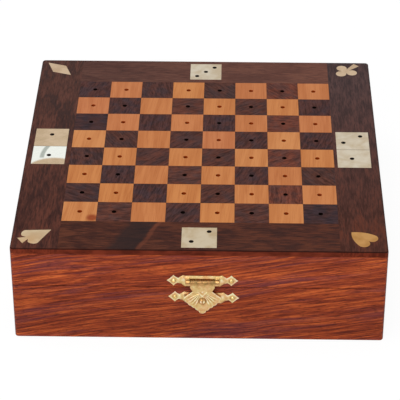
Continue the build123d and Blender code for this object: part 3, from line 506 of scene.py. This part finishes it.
def card_back():
    material, add, place = new_material("printed_card_stock", 0.4, 0.35)
    low, high = box_mm("playing_cards")
    centre = (low + high) / 2
    half = (high - low) / 2 - card_margin
    local = add("VectorMath", {0: place, 1: centre * MM}, operation="SUBTRACT")
    away = add("VectorMath", {0: local}, operation="ABSOLUTE")
    split = add("SeparateXYZ", {"Vector": away})
    in_x, in_y = [add("Math", {0: split.outputs[k], 1: half[k] * MM}, operation="LESS_THAN")
                  for k in (0, 1)]
    inside_margin = add("Math", {0: in_x, 1: in_y}, operation="MULTIPLY")
    printed = add("Math", {0: inside_margin, 1: facing(add, "Z")}, operation="MULTIPLY")
    slanted = add("Mapping", {
        "Vector": local,
        "Rotation": (0, 0, math.pi / 4),
        "Scale": [lattice_pitch * MM] * 3,
    }, vector_type="TEXTURE")
    cell = add("VectorMath", {0: slanted}, operation="FRACTION")
    from_middle = add("VectorMath", {0: cell, 1: (0.5, 0.5, 0.5)}, operation="SUBTRACT")
    folded = add("SeparateXYZ", {
        "Vector": add("VectorMath", {0: from_middle}, operation="ABSOLUTE"),
    })
    widest = add("Math", {0: folded.outputs["X"], 1: folded.outputs["Y"]}, operation="MAXIMUM")
    lattice = add("ValToRGB", {"Fac": widest}, stops=(
        (0.12, "F4EEE6"), (0.15, "A83232"), (0.38, "A83232"), (0.41, "F4EEE6"),
    ))
    stock = grain_noise(add, place, along_x, (1.5, 1.5, 0.3))
    white = add("ValToRGB", {"Fac": stock}, stops=((0.35, "E6DFD2"), (0.60, "F6F2EA")))
    return coat(material, layered(add, white, (printed, lattice, "MIX")), stock, 0.005)


side_boards = rosewood("waxed_sheesham_side_boards", rising_y, "Y")
floor_wood = timber("planed_mango_floor", along_x, ("96663C", "BC8A58"), (55, 2.8, 2.8), 0.6, 0.2)
boxwood = timber("turned_boxwood", along_y, ("D2A76A", "E4C48E"), (22, 1.8, 1.8), 0.36, 0.45)
ebonised = timber("ebonised_wood", along_y, ("241812", "3C281E"), (22, 1.8, 1.8), 0.32, 0.5)
suit_brass = brass("tarnished_inlay_brass", ("B69B7C", "C4AB8D"), 0.36)
stamped_brass = lacquered_stamping()
hinge_brass = brass("rolled_hinge_brass", ("C49A54", "D8B470"), 0.32, along_x)
card = card_back()

# What each slot's nodes are finished with, and the nodes that have a finish of their own
finishes = {
    "rosewood": rosewood("waxed_sheesham_front_boards", rising_x, "X"),
    "dark_rosewood": border_wood("rosewood_left_strip", along_y, "Y", ("341A15", "46261E", "572F24"),
                                 ("372522", "472C25", "55352D")),
    "light_wood": light_square_wood(),
    "inner_wood": timber("planed_mango_inside", along_y, ("A87648", "C69562"), (50, 2.6, 2.6),
                         0.6, 0.2),
    "boxwood": boxwood,
    "ebonised_wood": ebonised,
    "inlay_brass": brass("rubbed_inlay_brass", ("BAA98E", "CABFAB"), 0.36, drilled=True),
    "latch_brass": hinge_brass,
    "hinge_brass": hinge_brass,
    "screw_brass": brass("turned_screw_brass", ("C4A668", "DCC48E"), 0.32, cloud=1.2),
    "domino_bone": painted_bone("drilled_bone_dominoes", domino_paint),
    "card_stock": card,
    "black_wax": stopping_wax(),
}
own_finishes = {
    "base_left_wall": side_boards,
    "base_right_wall": side_boards,
    "lid_left_wall": side_boards,
    "lid_right_wall": side_boards,
    "right_border": border_wood("rosewood_right_strip", along_y, "Y", ("3B1E16", "4A2920", "572D20"),
                                ("372929", "433130", "4E3937")),
    "back_border": border_wood("rosewood_back_strip", along_x, "X", ("452B26", "50332C", "583A32"),
                               ("59372E", "633E34", "6C4538")),
    "front_border": border_wood("rosewood_front_strip", along_x, "X", ("351913", "462419", "572F20"),
                                ("331C17", "43231B", "532C1E"), front_strip_mark),
    "dark_squares": dark_square_wood(),
    "base_floor": floor_wood,
    "lid_panel": floor_wood,
    "diamond_inlay": suit_brass,
    "club_inlay": suit_brass,
    "heart_inlay": brass("golden_inlay_brass", ("A6773D", "B8894F"), 0.36),
    "spade_inlay": brass("stained_inlay_brass", ("B79D7B", "C5B191"), 0.36, mark=golden_corner),
    "front_die_inlay": brass("worn_inlay_brass", ("B19C7B", "C1B298"), 0.36, drilled=True),
    "left_domino_inlay": brass("half_burnished_inlay_brass", ("B8A080", "C6AE90"), 0.32,
                               mark=burnished_half, drilled=True),
    "dice": painted_bone("drilled_bone_dice", dice_paint),
}
for name, node in frame["nodes"].items():
    slot = node.material_slots[0]
    slot.material = own_finishes.get(name) or finishes[slot.material.name]


def skin(rings, rubbed=0.5):
    """A closed surface through rings of points: an array of ring, point and x, y, z in mm.

    Neighbouring rings are joined by quads, each ring's last point by its first, and the first and last
    rings are closed by a fan from their middle. Returns points, faces and how pale each point is
    painted, for wear and painted light.
    """
    count, size, _ = rings.shape
    points = np.concatenate([rings.reshape(-1, 3), rings[[0, -1]].mean(axis=1)])
    ring, point = np.meshgrid(np.arange(count - 1), np.arange(size), indexing="ij")
    start, after = ring * size + point, ring * size + (point + 1) % size
    sides = np.stack([start, after, after + size, start + size], axis=-1).reshape(-1, 4)
    hub = np.full(size, count * size)
    near = np.stack([after[0], start[0], hub], axis=-1)
    far = np.stack([start[-1] + size, after[-1] + size, hub + 1], axis=-1)
    shares = np.broadcast_to(rubbed, (count, size)).astype(float)
    shares = np.concatenate([shares.ravel(), shares[[0, -1]].mean(axis=1)])
    return points, [sides, near, far], shares


def shaped_mesh(name, skins, sharp):
    """One mesh of closed skins: doubles merged, faces outwards, edges sharp past some degrees."""
    points, faces, shares = [], [], []
    first = 0
    for skin_points, skin_faces, skin_shares in skins:
        points.append(skin_points * MM)
        faces += [row for block in skin_faces for row in (block + first).tolist()]
        shares.append(skin_shares)
        first += len(skin_points)
    mesh = bpy.data.meshes.new(name)
    mesh.from_pydata(np.concatenate(points).tolist(), [], faces)
    mesh.attributes.new("rubbed", "FLOAT", "POINT").data.foreach_set("value", np.concatenate(shares))
    form = bmesh.new()
    form.from_mesh(mesh)
    bmesh.ops.remove_doubles(form, verts=form.verts, dist=1e-3 * MM)
    bmesh.ops.dissolve_degenerate(form, edges=form.edges, dist=1e-4 * MM)
    bmesh.ops.recalc_face_normals(form, faces=form.faces)
    form.to_mesh(mesh)
    form.free()
    mesh.shade_smooth()
    mesh.set_sharp_from_angle(angle=math.radians(sharp))
    return mesh


def new_object(name, data):
    """A new object in the scene, at the origin."""
    thing = bpy.data.objects.new(name, data)
    bpy.context.scene.collection.objects.link(thing)
    return thing


def add_piece(name, skins, sharp, material, body, replaced):
    """A piece in its place: its form, finish and body, and the node that it stands for."""
    mesh = shaped_mesh(name, skins, sharp)
    mesh.materials.append(material)
    piece = new_object(name, mesh)
    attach(piece, body)
    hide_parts(replaced)


def with_back(front, back):
    """A front's columns with the two columns of a back beside them."""
    return np.concatenate([front, np.broadcast_to(back, (len(front), 2))], axis=1)


def turned(profile, centre, axis, segments):
    """A turned form: a profile of (radius, distance along the axis) spun round an axis."""
    axis = np.array(axis, float)
    aside = np.cross(axis, (0, 0, 1) if abs(axis[2]) < 0.9 else (1, 0, 0))
    aside /= np.linalg.norm(aside)
    third = np.cross(axis, aside)
    angles = np.linspace(0, 2 * math.pi, segments, endpoint=False)[:, None]
    round_it = np.cos(angles) * aside + np.sin(angles) * third
    radius, height = np.transpose(np.array(profile, float))[..., None, None]
    return skin(np.array(centre) + radius * round_it + height * axis)


def edge_distance(points, outline):
    """Each point's distance to the nearest stretch of a closed outline, both in a plane."""
    run = np.roll(outline, -1, axis=0) - outline
    offset = points[..., None, :] - outline
    share = np.clip((offset * run).sum(-1) / (run ** 2).sum(-1), 0, 1)
    return np.linalg.norm(offset - share[..., None] * run, axis=-1).min(-1)


# Latch plates: one stamped outline with a pointed finial at each end, as heights at each distance
# from its middle. The sides of the points are slightly hollow.
plate_top = [(0, 2.3), (7.1, 2.3), (8.0, 2.6), (9.9, 1.15), (11.0, 1.8),
             (11.8, 2.65), (12.3, 2.02), (12.9, 1.42), (13.7, 0.65), (14.6, 0)]
plate_bottom = [(0, -3.1), (7.1, -3.1), (7.9, -2.5), (9.0, -1.55), (10.2, -1.15), (11.1, -1.8),
                (11.8, -2.65), (12.3, -2.02), (12.9, -1.42), (13.7, -0.65), (14.6, 0)]
plate_columns, plate_rows = 181, 27
# Widths of its slopes: along the edges, on the finials, and what the broad top facet has more
edge_slope, finial_slope, facet_slope = 0.6, 1.7, 0.6
finial_start, finial_full = 8.6, 10.4
facet_rise, facet_fade = 1.2, (7.0, 9.0)
dish_radius, dish_width, dish_depth = 1.15 * screw_head_radius, 0.3, 0.08
pale_fold_x, pale_fold_up = 7.8, 0.4


def latch_plate(x, z, turn=0.0):
    """A stamped plate whose front rises from its edge to its full thickness over a slope.

    The height at a point is the edge's height plus the rest times the point's distance from the
    outline over the slope's width, which is wider on the finials and along the top, so that those are
    low pyramids and this is a broad facet. A small dish lies round each screw. Its edges are a little
    paler, as wear, and it is painted palest on the finials' upper edges and on a fold beside each, as
    painted highlights, and a little darker in the dishes, as painted shade.
    """
    right = np.array(plate_top + plate_bottom[-2::-1], float)
    outline = np.concatenate([right, (right * (-1, 1))[::-1][1:-1]])
    corners, tip = np.abs(right[:, 0]), plate_top[-1][0]
    along = np.unique(np.concatenate([corners, -corners, np.linspace(-tip, tip, plate_columns)]))
    along = along[:, None]
    top = np.interp(np.abs(along), *np.transpose(plate_top))
    bottom = np.interp(np.abs(along), *np.transpose(plate_bottom))
    up = bottom + (top - bottom) * np.linspace(0, 1, plate_rows)
    across = np.broadcast_to(along, up.shape)
    out = np.abs(across)
    inward = edge_distance(np.stack([across, up], axis=-1), outline)
    slope = np.interp(out, (finial_start, finial_full), (edge_slope, finial_slope))
    slope = slope + facet_slope * np.clip(up / facet_rise, 0, 1) * np.interp(out, facet_fade, (1, 0))
    rise = np.clip(inward / slope, 0, 1)
    dish = np.exp(-((np.hypot(out - finial_centre, up) - dish_radius) / dish_width) ** 2)
    height = plate_edge_height + (plate_thickness - plate_edge_height) * rise - dish_depth * dish
    # painted highlights on the finials' upper edges and on a fold beside each, painted shade in the
    # dishes
    on_finial = np.clip((out - finial_start) / 1.5, 0, 1)
    near_edge, upward = np.clip(1 - inward / 0.9, 0, 1), np.clip(0.5 + up / 4, 0, 1)
    fold = np.exp(-((out - pale_fold_x) / 0.6) ** 2 - ((up - pale_fold_up) / 0.9) ** 2)
    rubbed = 0.5 + 0.08 * on_finial + near_edge * (0.06 + 0.26 * upward * on_finial)
    rubbed = with_back(rubbed + 0.35 * fold - 0.14 * dish, 0.3)
    across = with_back(across, along)
    up = with_back(up, bottom + (top - bottom) * (1.0, 0.0))
    turned_x = across * math.cos(turn) - up * math.sin(turn)
    turned_z = across * math.sin(turn) + up * math.cos(turn)
    return skin(np.stack([x + turned_x, front_y - with_back(height, 0), z + turned_z], axis=-1), rubbed)


knuckle_inner, knuckle_outer = 5.2, 6.95
knuckle_sweep = math.radians(112)
knuckle_end, knuckle_end_share = 0.12, 0.88
knuckle_foot_proud, knuckle_foot = 0.2, (1.9, -2.4)


def knuckle(side):
    """A rolled knuckle of the lid's plate: a D-shaped section, in y and z, carried along x.

    The section is an arc round the hasp's axis closed by two points on the plate, and it shrinks a
    tenth of a mm at both ends, where it is painted darker as painted shade. The top and bottom of the
    arc are painted darker too, as painted shade that tones down their highlights.
    """
    angles = np.linspace(-knuckle_sweep, knuckle_sweep, 25)
    arc_out = axis_proud - knuckle_foot_proud + eye_radius * np.cos(angles)
    out = np.concatenate([arc_out, [0, 0]])
    up = np.concatenate([eye_radius * np.sin(angles), knuckle_foot])
    along = np.array([knuckle_inner, knuckle_inner + knuckle_end,
                      knuckle_outer - knuckle_end, knuckle_outer])[:, None]
    shrink = np.array([knuckle_end_share, 1, 1, knuckle_end_share])[:, None]
    x, y, z = np.broadcast_arrays(latch_x + side * along, front_y - knuckle_foot_proud - out * shrink,
                                  hasp_axis_z + up * shrink)
    # painted shade: darker on the arc's top and bottom and at both ends
    rubbed = np.concatenate([0.34 - 0.18 * np.sin(angles) ** 2, [0.5, 0.5]])
    return skin(np.stack([x, y, z], axis=-1), rubbed * np.array([0.7, 1, 1, 0.7])[:, None])


add_piece("hasp_plate_stamped", [latch_plate(latch_x, lid_plate_z), knuckle(-1), knuckle(1)], 28,
          stamped_brass, "lid", "hasp_plate")
add_piece("catch_plate_stamped", [latch_plate(latch_x + catch_shift, catch_plate_z, catch_turn)], 28,
          stamped_brass, "base", "catch_plate")


points_per_scallop = 8


def hasp_outline():
    """The hasp's half width against its drop, with each stretch of the rim bulging as a low arc."""
    share = np.linspace(0, 1, points_per_scallop, endpoint=False)[:, None]
    stretches = [np.array(tongue, float)]
    for start, end, bulge in zip(scallops, scallops[1:], scallop_bulges):
        start, end = np.array(start), np.array(end)
        run = end - start
        outward = np.array([-run[1], run[0]]) / np.linalg.norm(run)
        stretches.append(start + share * run + 4 * share * (1 - share) * bulge * outward)
    points = np.concatenate([*stretches, [scallops[-1]]])
    return points[np.argsort(-points[:, 1], kind="stable")]


# The fan's flutes: their angles from straight down, how many there are on a side, and the distances
# from the waist over which they rise and run out
flute_from, flute_to, flute_fade = math.radians(18), math.radians(74), 0.4
flutes_per_side = 5
flute_start, flute_end = (1.5, 2.3), (5.8, 8.0)
flute_depth, chevron_height, lozenge_height = 0.24, 0.18, 0.3
lozenge_half_width, lozenge_half_height = 0.8, 0.85
chevron_half_width, chevron_half_height, chevron_spread = 1.9, 2.3, 0.13
seat_radius, seat_slope = 1.2 * knob_radius, 0.3
dark_ring_radius, dark_ring_width = 1.12 * knob_radius, 0.22


def hasp_relief(x, drop):
    """How far the hasp's front stands out of its sheet in mm, and how pale it is painted.

    Flutes radiate from the waist as sine waves in the angle from straight down, and fade towards the
    middle, the foot and the rim. A small lozenge stands at the waist as a pyramid inside a chevron, a
    ridge where a larger lozenge's norm is 1. A round seat is let in for the knob.
    """
    below = -drop - fan_centre_drop
    distance = np.hypot(x, below)
    angle = np.arctan2(np.abs(x), below)
    phase = (angle - flute_from) / (flute_to - flute_from) * flutes_per_side
    wave = 0.5 - 0.5 * np.cos(2 * math.pi * phase)
    shown = np.interp(distance, flute_start, (0, 1)) * np.interp(distance, flute_end, (1, 0))
    shown *= (angle > flute_from) * (below > 0)
    shown *= np.interp(angle, (flute_to - flute_fade, flute_to), (1, 0))
    off_centre = np.abs(drop + fan_centre_drop)
    lozenge = np.clip(1 - np.abs(x) / lozenge_half_width - off_centre / lozenge_half_height, 0, 1)
    norm = np.abs(x) / chevron_half_width + off_centre / chevron_half_height
    chevron = np.exp(-((norm - 1) / chevron_spread) ** 2) * np.clip(0.2 + 2.5 * below, 0, 1)
    height = flute_depth * wave * shown + chevron_height * chevron
    height = height + lozenge_height * np.minimum(1, 2 * lozenge)
    from_knob = np.hypot(x, drop + knob_drop)
    seat = np.clip((from_knob - seat_radius) / seat_slope, 0, 1)
    ring = np.exp(-((from_knob - dark_ring_radius) / dark_ring_width) ** 2)
    # flute crests, chevron and lozenge are painted paler, as wear and painted highlights; the ring
    # round the knob darker, as painted shade
    rubbed = 0.52 + (0.6 * wave - 0.26) * shown + 0.34 * chevron + 0.3 * lozenge - 0.45 * ring
    return height * seat, rubbed


hasp_edge_width, hasp_edge_drop, pale_rim_width = 0.25, 0.18, 0.55
roll_middle_radius, roll_thickness = 0.62, 0.5
roll_turn = (0.1, 1.5 * math.pi)
lift_from, lift_to, sheet_top = -2.9, -0.3, -0.4
sheet_rows, roll_rows, sheet_columns = 110, 26, 91


def hasp_sheet():
    """The hasp as one sheet: rings across a spine that runs up the fan and rolls round the pin.

    The spine is the sheet's middle line in the y, z plane: straight, then lifted by a smooth step,
    then an arc. The width is the scalloped outline at each drop below the axis, and the relief is
    added to the points of the front. The rim is painted pale, as a painted highlight, and the roll
    is painted dark, as painted shade under the plate.
    """
    outline = hasp_outline()
    levels = np.linspace(scallops[-1][1], sheet_top, sheet_rows)
    drops = np.unique(np.concatenate([outline[:, 1], levels]))
    drops = drops[drops <= sheet_top]
    flat = len(drops)
    lift = np.interp(drops, (lift_from, lift_to), (0, 1))
    lift = lift * lift * (3 - 2 * lift)
    turn = np.linspace(*roll_turn, roll_rows)
    flat_middle, full = (hasp_back + hasp_front) / 2, hasp_front - hasp_back
    middle = flat_middle + (axis_proud + roll_middle_radius - flat_middle) * lift
    spine = np.stack([
        np.concatenate([middle, axis_proud + roll_middle_radius * np.cos(turn)]),
        np.concatenate([drops, roll_middle_radius * np.sin(turn)]),
    ], axis=-1)
    heading = np.gradient(spine, axis=0)
    heading /= np.linalg.norm(heading, axis=1)[:, None]
    spine_proud, spine_drop = spine[:, :1], spine[:, 1:]
    widths = np.interp(-drops, -outline[:, 1], outline[:, 0])
    widths = np.concatenate([widths, np.full(roll_rows, tongue[0][0])])[:, None]
    in_roll = np.concatenate([lift, np.ones(roll_rows)])[:, None]
    thickness = full + (roll_thickness - full) * in_roll
    front_x = widths * np.linspace(-1, 1, sheet_columns)
    whole = np.concatenate([outline, (outline * (-1, 1))[::-1][1:]])
    inward = edge_distance(np.stack(np.broadcast_arrays(front_x, spine_drop), axis=-1), whole)
    inward[flat:] = (widths - np.abs(front_x))[flat:]
    edge = np.clip(inward / hasp_edge_width, 0, 1)
    relief, rubbed = hasp_relief(front_x, spine_drop)
    relief[flat:] = 0
    over = np.concatenate([np.zeros(flat), np.clip(np.sin(turn), 0, 1)])[:, None]
    rim_light = np.clip(1 - inward / pale_rim_width, 0, 1) * (front_x != 0)
    rim_light *= spine_drop < tongue[2][1]
    # painted shade on the roll, darkest on its top, and a painted highlight along the rim
    rubbed = with_back(rubbed - 0.3 * in_roll ** 2 - 0.25 * over + 0.3 * rim_light, 0.42)
    front_out = thickness / 2 - hasp_edge_drop * (1 - edge) + relief * edge
    offset = with_back(front_out, -thickness / 2)
    x = with_back(front_x, widths * (1.0, -1.0))
    proud = spine_proud + offset * heading[:, 1:]
    drop = spine_drop - offset * heading[:, :1]
    return skin(np.stack([latch_x + x, front_y - proud, hasp_axis_z + drop], axis=-1), rubbed)


add_piece("hasp_stamped", [hasp_sheet()], 40, stamped_brass, "hasp", "hasp")


dome_foot, dome_rise = 0.12, 0.66


def knob():
    """The knob is a low domed rivet on a collar, with a dark groove between them.

    The dome is a quarter of an ellipse in the profile. It is painted bright on both flanks, as painted
    highlights, and dark in a band down its middle, as a painted reflection.
    """
    collar_radius, groove_radius, dome_radius = np.array([1.12, 0.95, 0.92]) * knob_radius
    rise = np.linspace(0.1, math.pi / 2, 12)
    dome = np.stack([dome_radius * np.cos(rise), dome_foot + dome_rise * np.sin(rise)], axis=-1)
    profile = [(0, -0.4), (collar_radius, -0.4), (collar_radius, 0.1), (knob_radius, 0.16),
               (groove_radius, 0.06), *dome[:-1], (0, dome[-1, 1])]
    centre = (latch_x, front_y - hasp_front, hasp_axis_z - knob_drop)
    points, faces, _ = turned(profile, centre, (0, -1, 0), 48)
    sideways = np.abs(points[:, 0] - latch_x) / knob_radius
    up = (points[:, 2] - centre[2]) / knob_radius
    # painted highlights on both flanks and a dark painted reflection down the middle
    flank = np.exp(-((sideways - 0.45) / 0.22) ** 2 - ((up + 0.05) / 0.4) ** 2)
    nick = np.exp(-(sideways / 0.15) ** 2) * np.clip(0.7 + up, 0, 1)
    return points, faces, np.clip(0.34 + 0.9 * flank - 0.3 * nick, 0, 1)


add_piece("hasp_knob_domed", [knob()], 35, stamped_brass, "hasp", "hasp_knob")

card_count = 54
card_inset, card_shift, card_corner, card_edge_step = 0.3, 0.22, 3.0, 0.05
points_per_corner = 6


def card_pack():
    """A squared-up pack: four rounded rectangles for each card, which has its own small shift.

    A point is a corner's centre plus the corner's radius times the cosine and sine of its angle.
    """
    low, high = box_mm("playing_cards")
    centre, half = (low + high) / 2, (high - low) / 2
    chance = np.random.default_rng(5)
    shift = np.repeat(chance.uniform(-card_shift, card_shift, (card_count, 2)), 4, axis=0)[:, None]
    inset = card_inset + np.tile([card_edge_step, 0, 0, card_edge_step], card_count)[:, None, None]
    quarter = np.linspace(0, math.pi / 2, points_per_corner)
    angles = np.concatenate([quarter + k * math.pi / 2 for k in range(4)])
    signs = np.repeat([[1, 1], [-1, 1], [-1, -1], [1, -1]], points_per_corner, axis=0)
    arc = card_corner * np.stack([np.cos(angles), np.sin(angles)], axis=-1)
    flat = centre[:2] + shift + signs * (half[:2] - inset - card_corner) + arc
    cards_up = np.add.outer(np.arange(card_count), [0.02, 0.22, 0.78, 0.98]).reshape(-1, 1, 1)
    level = low[2] + cards_up * (high[2] - low[2]) / card_count
    return skin(np.concatenate([flat, np.broadcast_to(level, (*flat.shape[:2], 1))], axis=-1))


add_piece("playing_card_pack", [card_pack()], 30, card, "base", "playing_cards")

# Knights: the turned foot is as the part's, and the head is carved. Heights and radii stand on the
# foot's underside, and the head's sections are shares of its height.
foot_radius, foot_height, step_height = 4.1, 1.2, 0.5
peg_radius, peg_length = 0.9, 4.0
knight_height, knight_neck_height = 16.0, 4.6
knight_head_height = knight_height - knight_neck_height
knight_stem = (2.3, 2.9, 0.7)
knight_half_thickness = 1.6
# x and z of the middle, then half the depth and half the thickness
neck_sections = [
    (-0.02, -0.04, 0.21, 0.17), (-0.03, 0.12, 0.20, 0.16), (-0.06, 0.34, 0.17, 0.14),
    (-0.07, 0.54, 0.15, 0.125), (-0.05, 0.70, 0.13, 0.115), (0.00, 0.82, 0.10, 0.10),
    (0.03, 0.88, 0.04, 0.05),
]
head_sections = [
    (-0.06, 0.82, 0.05, 0.07), (0.02, 0.77, 0.10, 0.11), (0.11, 0.69, 0.115, 0.12),
    (0.19, 0.60, 0.085, 0.10), (0.26, 0.52, 0.07, 0.085), (0.31, 0.46, 0.065, 0.08),
    (0.34, 0.43, 0.03, 0.05),
]
mane_sections = [
    (-0.20, 0.10, 0.05, 0.035), (-0.235, 0.34, 0.05, 0.04), (-0.23, 0.56, 0.05, 0.04),
    (-0.17, 0.74, 0.05, 0.04), (-0.08, 0.87, 0.05, 0.035), (-0.02, 0.92, 0.02, 0.02),
]
ear_sections = [(-0.03, 0.84, 0.045, 0.035), (-0.02, 0.91, 0.04, 0.03), (0.0, 1.0, 0.005, 0.005)]


def carved(sections, aside=0.0):
    """A limb through elliptical sections, smoothed, across a spine in the plane of x and z.

    A point is the spine's plus half the depth times a cosine along the spine's normal, and half the
    thickness times a sine sideways.
    """
    points = np.array(sections) * knight_head_height
    steps = np.arange(len(points))
    fine = np.linspace(0, len(points) - 1, 4 * len(points))
    points = np.stack([np.interp(fine, steps, column) for column in points.T], axis=-1)
    for _ in range(2):
        points[1:-1] = (points[:-2] + 2 * points[1:-1] + points[2:]) / 4
    heading = np.gradient(points[:, :2], axis=0)
    heading /= np.linalg.norm(heading, axis=1)[:, None]
    angles = np.linspace(0, 2 * math.pi, 20, endpoint=False)
    deep = points[:, 2:3] * np.cos(angles)
    wide = points[:, 3:4] * np.sin(angles)
    rings = np.stack([
        points[:, :1] + deep * heading[:, 1:2],
        aside + wide,
        knight_neck_height + points[:, 1:2] - deep * heading[:, :1],
    ], axis=-1)
    return skin(rings)


def knight_foot():
    """The peg, the rim and a stem whose radius shrinks with the square root of its height, turned."""
    stem_radius, collar_radius, collar_height = knight_stem
    shoulder = 0.74 * foot_radius
    stem_top = knight_neck_height - collar_height
    share = np.linspace(0, 1, 8)
    flare_z = foot_height + 2 * step_height
    profile = [(0, -peg_length), (0.8 * peg_radius, -peg_length), (peg_radius, -0.85 * peg_length),
               (peg_radius, 0), (0.94 * foot_radius, 0), (foot_radius, 0.25),
               (foot_radius, foot_height - 0.2), (0.95 * foot_radius, foot_height),
               (shoulder, foot_height + step_height)]
    flare = shoulder + (stem_radius - shoulder) * share ** 0.5
    profile += list(zip(flare, flare_z + (stem_top - flare_z) * share))
    profile += [(collar_radius - 0.15, stem_top), (collar_radius, stem_top + collar_height / 2),
                (collar_radius - 0.15, stem_top + collar_height), (0, stem_top + collar_height)]
    return turned(profile, (0, 0, 0), (0, 0, 1), 36)


def lying_knights(node):
    """Both knights of a colour, laid down in their well as the part's are, by the node's own box.

    Each is turned about x till its foot's rim and its head touch the floor.
    """
    low, high = box_mm(node)
    droop = math.atan2(foot_radius - knight_half_thickness, knight_height - foot_height)
    sine, cosine = math.sin(droop), math.cos(droop)
    y = low[1] + peg_radius * sine + peg_length * cosine
    z = low[2] + foot_radius * cosine + foot_height * sine
    ear_aside = 0.055 * knight_head_height
    forms = [knight_foot(), carved(neck_sections), carved(head_sections), carved(mane_sections),
             carved(ear_sections, ear_aside), carved(ear_sections, -ear_aside)]
    skins = []
    for x in (low[0] + foot_radius, high[0] - foot_radius):
        for points, faces, shares in forms:
            laid = np.stack([
                x + points[:, 0],
                y - points[:, 1] * sine + points[:, 2] * cosine,
                z - points[:, 1] * cosine - points[:, 2] * sine,
            ], axis=-1)
            skins.append((laid, faces, shares))
    return skins


for colour, wood, slot in (("light", boxwood, "boxwood"), ("dark", ebonised, "ebonised_wood")):
    node = f"{colour}_knights"
    add_piece(f"{colour}_carved_knights", lying_knights(node), 40, wood, "base", node)


# The camera, fitted to the board's grid and the box's corners in the photograph's square frame
camera_place, camera_turn = (12.46, -699.91, 484.91), (56.292, 0.0, 1.101)
camera_lens = 170.11


def set_camera():
    camera = new_object("camera", bpy.data.cameras.new("camera"))
    camera.location = [v * MM for v in camera_place]
    camera.rotation_euler = [math.radians(v) for v in camera_turn]
    camera.data.lens = camera_lens
    camera.data.clip_start = 50 * MM
    bpy.context.scene.camera = camera


softbox_power = 8.0


def add_softbox(name, place, width, height):
    """A lamp of a size in mm that faces the middle of the box."""
    lamp = bpy.data.lights.new(name, "AREA")
    lamp.shape = "RECTANGLE"
    lamp.size, lamp.size_y = width * MM, height * MM
    lamp.energy = softbox_power
    softbox = new_object(name, lamp)
    softbox.location = [v * MM for v in place]
    heading = Vector((0, 0, box_top / 2)) - Vector(place)
    softbox.rotation_euler = heading.to_track_quat("-Z", "Y").to_euler()


def seen_directly(add):
    """1 for rays from the camera, off gloss and through glass, which show the white background."""
    rays = add("LightPath").outputs
    mirrored = add("Math", {0: rays["Is Glossy Ray"], 1: rays["Is Transmission Ray"]},
                   operation="MAXIMUM")
    return add("Math", {0: rays["Is Camera Ray"], 1: mirrored}, operation="MAXIMUM")


# A white room: the world is white where it is seen, and grey where it only lights the box.
def set_world():
    world = bpy.data.worlds.new("white_room")
    world.use_nodes = True
    bpy.context.scene.world = world
    tree = world.node_tree
    add = partial(add_node, tree)
    shade = layered(add, linear("AAAAAA"), (seen_directly(add), "FFFFFF", "MIX"))
    fill_inputs(tree, tree.nodes["Background"], {"Color": shade})


# White paper, which keeps a tenth of its own shade where it is seen, so that the box's shadow shows
floor_size, floor_drop = 6000, 0.1
paper_glow, glow_share = 1.03, 0.9


def white_paper():
    material = bpy.data.materials.new("white_studio_floor")
    material.use_nodes = True
    tree = material.node_tree
    add = partial(add_node, tree)
    paper = add("BsdfDiffuse", {"Color": linear("E8E8E8")})
    white = add("Emission", {"Color": linear("FFFFFF"), "Strength": paper_glow})
    share = add("Math", {0: seen_directly(add), 1: glow_share}, operation="MULTIPLY")
    mixed = add("MixShader", {0: share, 1: paper, 2: white})
    fill_inputs(tree, tree.nodes["Material Output"], {"Surface": mixed})
    return material


def add_floor():
    half = floor_size / 2
    corners = np.array([(-half, -half), (half, -half), (half, half), (-half, half)])
    corners = np.concatenate([corners, np.full((4, 1), -floor_drop)], axis=1) * MM
    mesh = bpy.data.meshes.new("studio_floor")
    mesh.from_pydata(corners.tolist(), [], [(0, 1, 2, 3)])
    mesh.materials.append(white_paper())
    new_object("studio_floor", mesh)


set_camera()
set_world()
add_floor()
add_softbox("overhead_softbox", (-150, -100, 1100), 900, 900)
add_softbox("front_softbox", (-350, -1300, 700), 900, 700)
bpy.context.scene.view_settings.view_transform = "Standard"
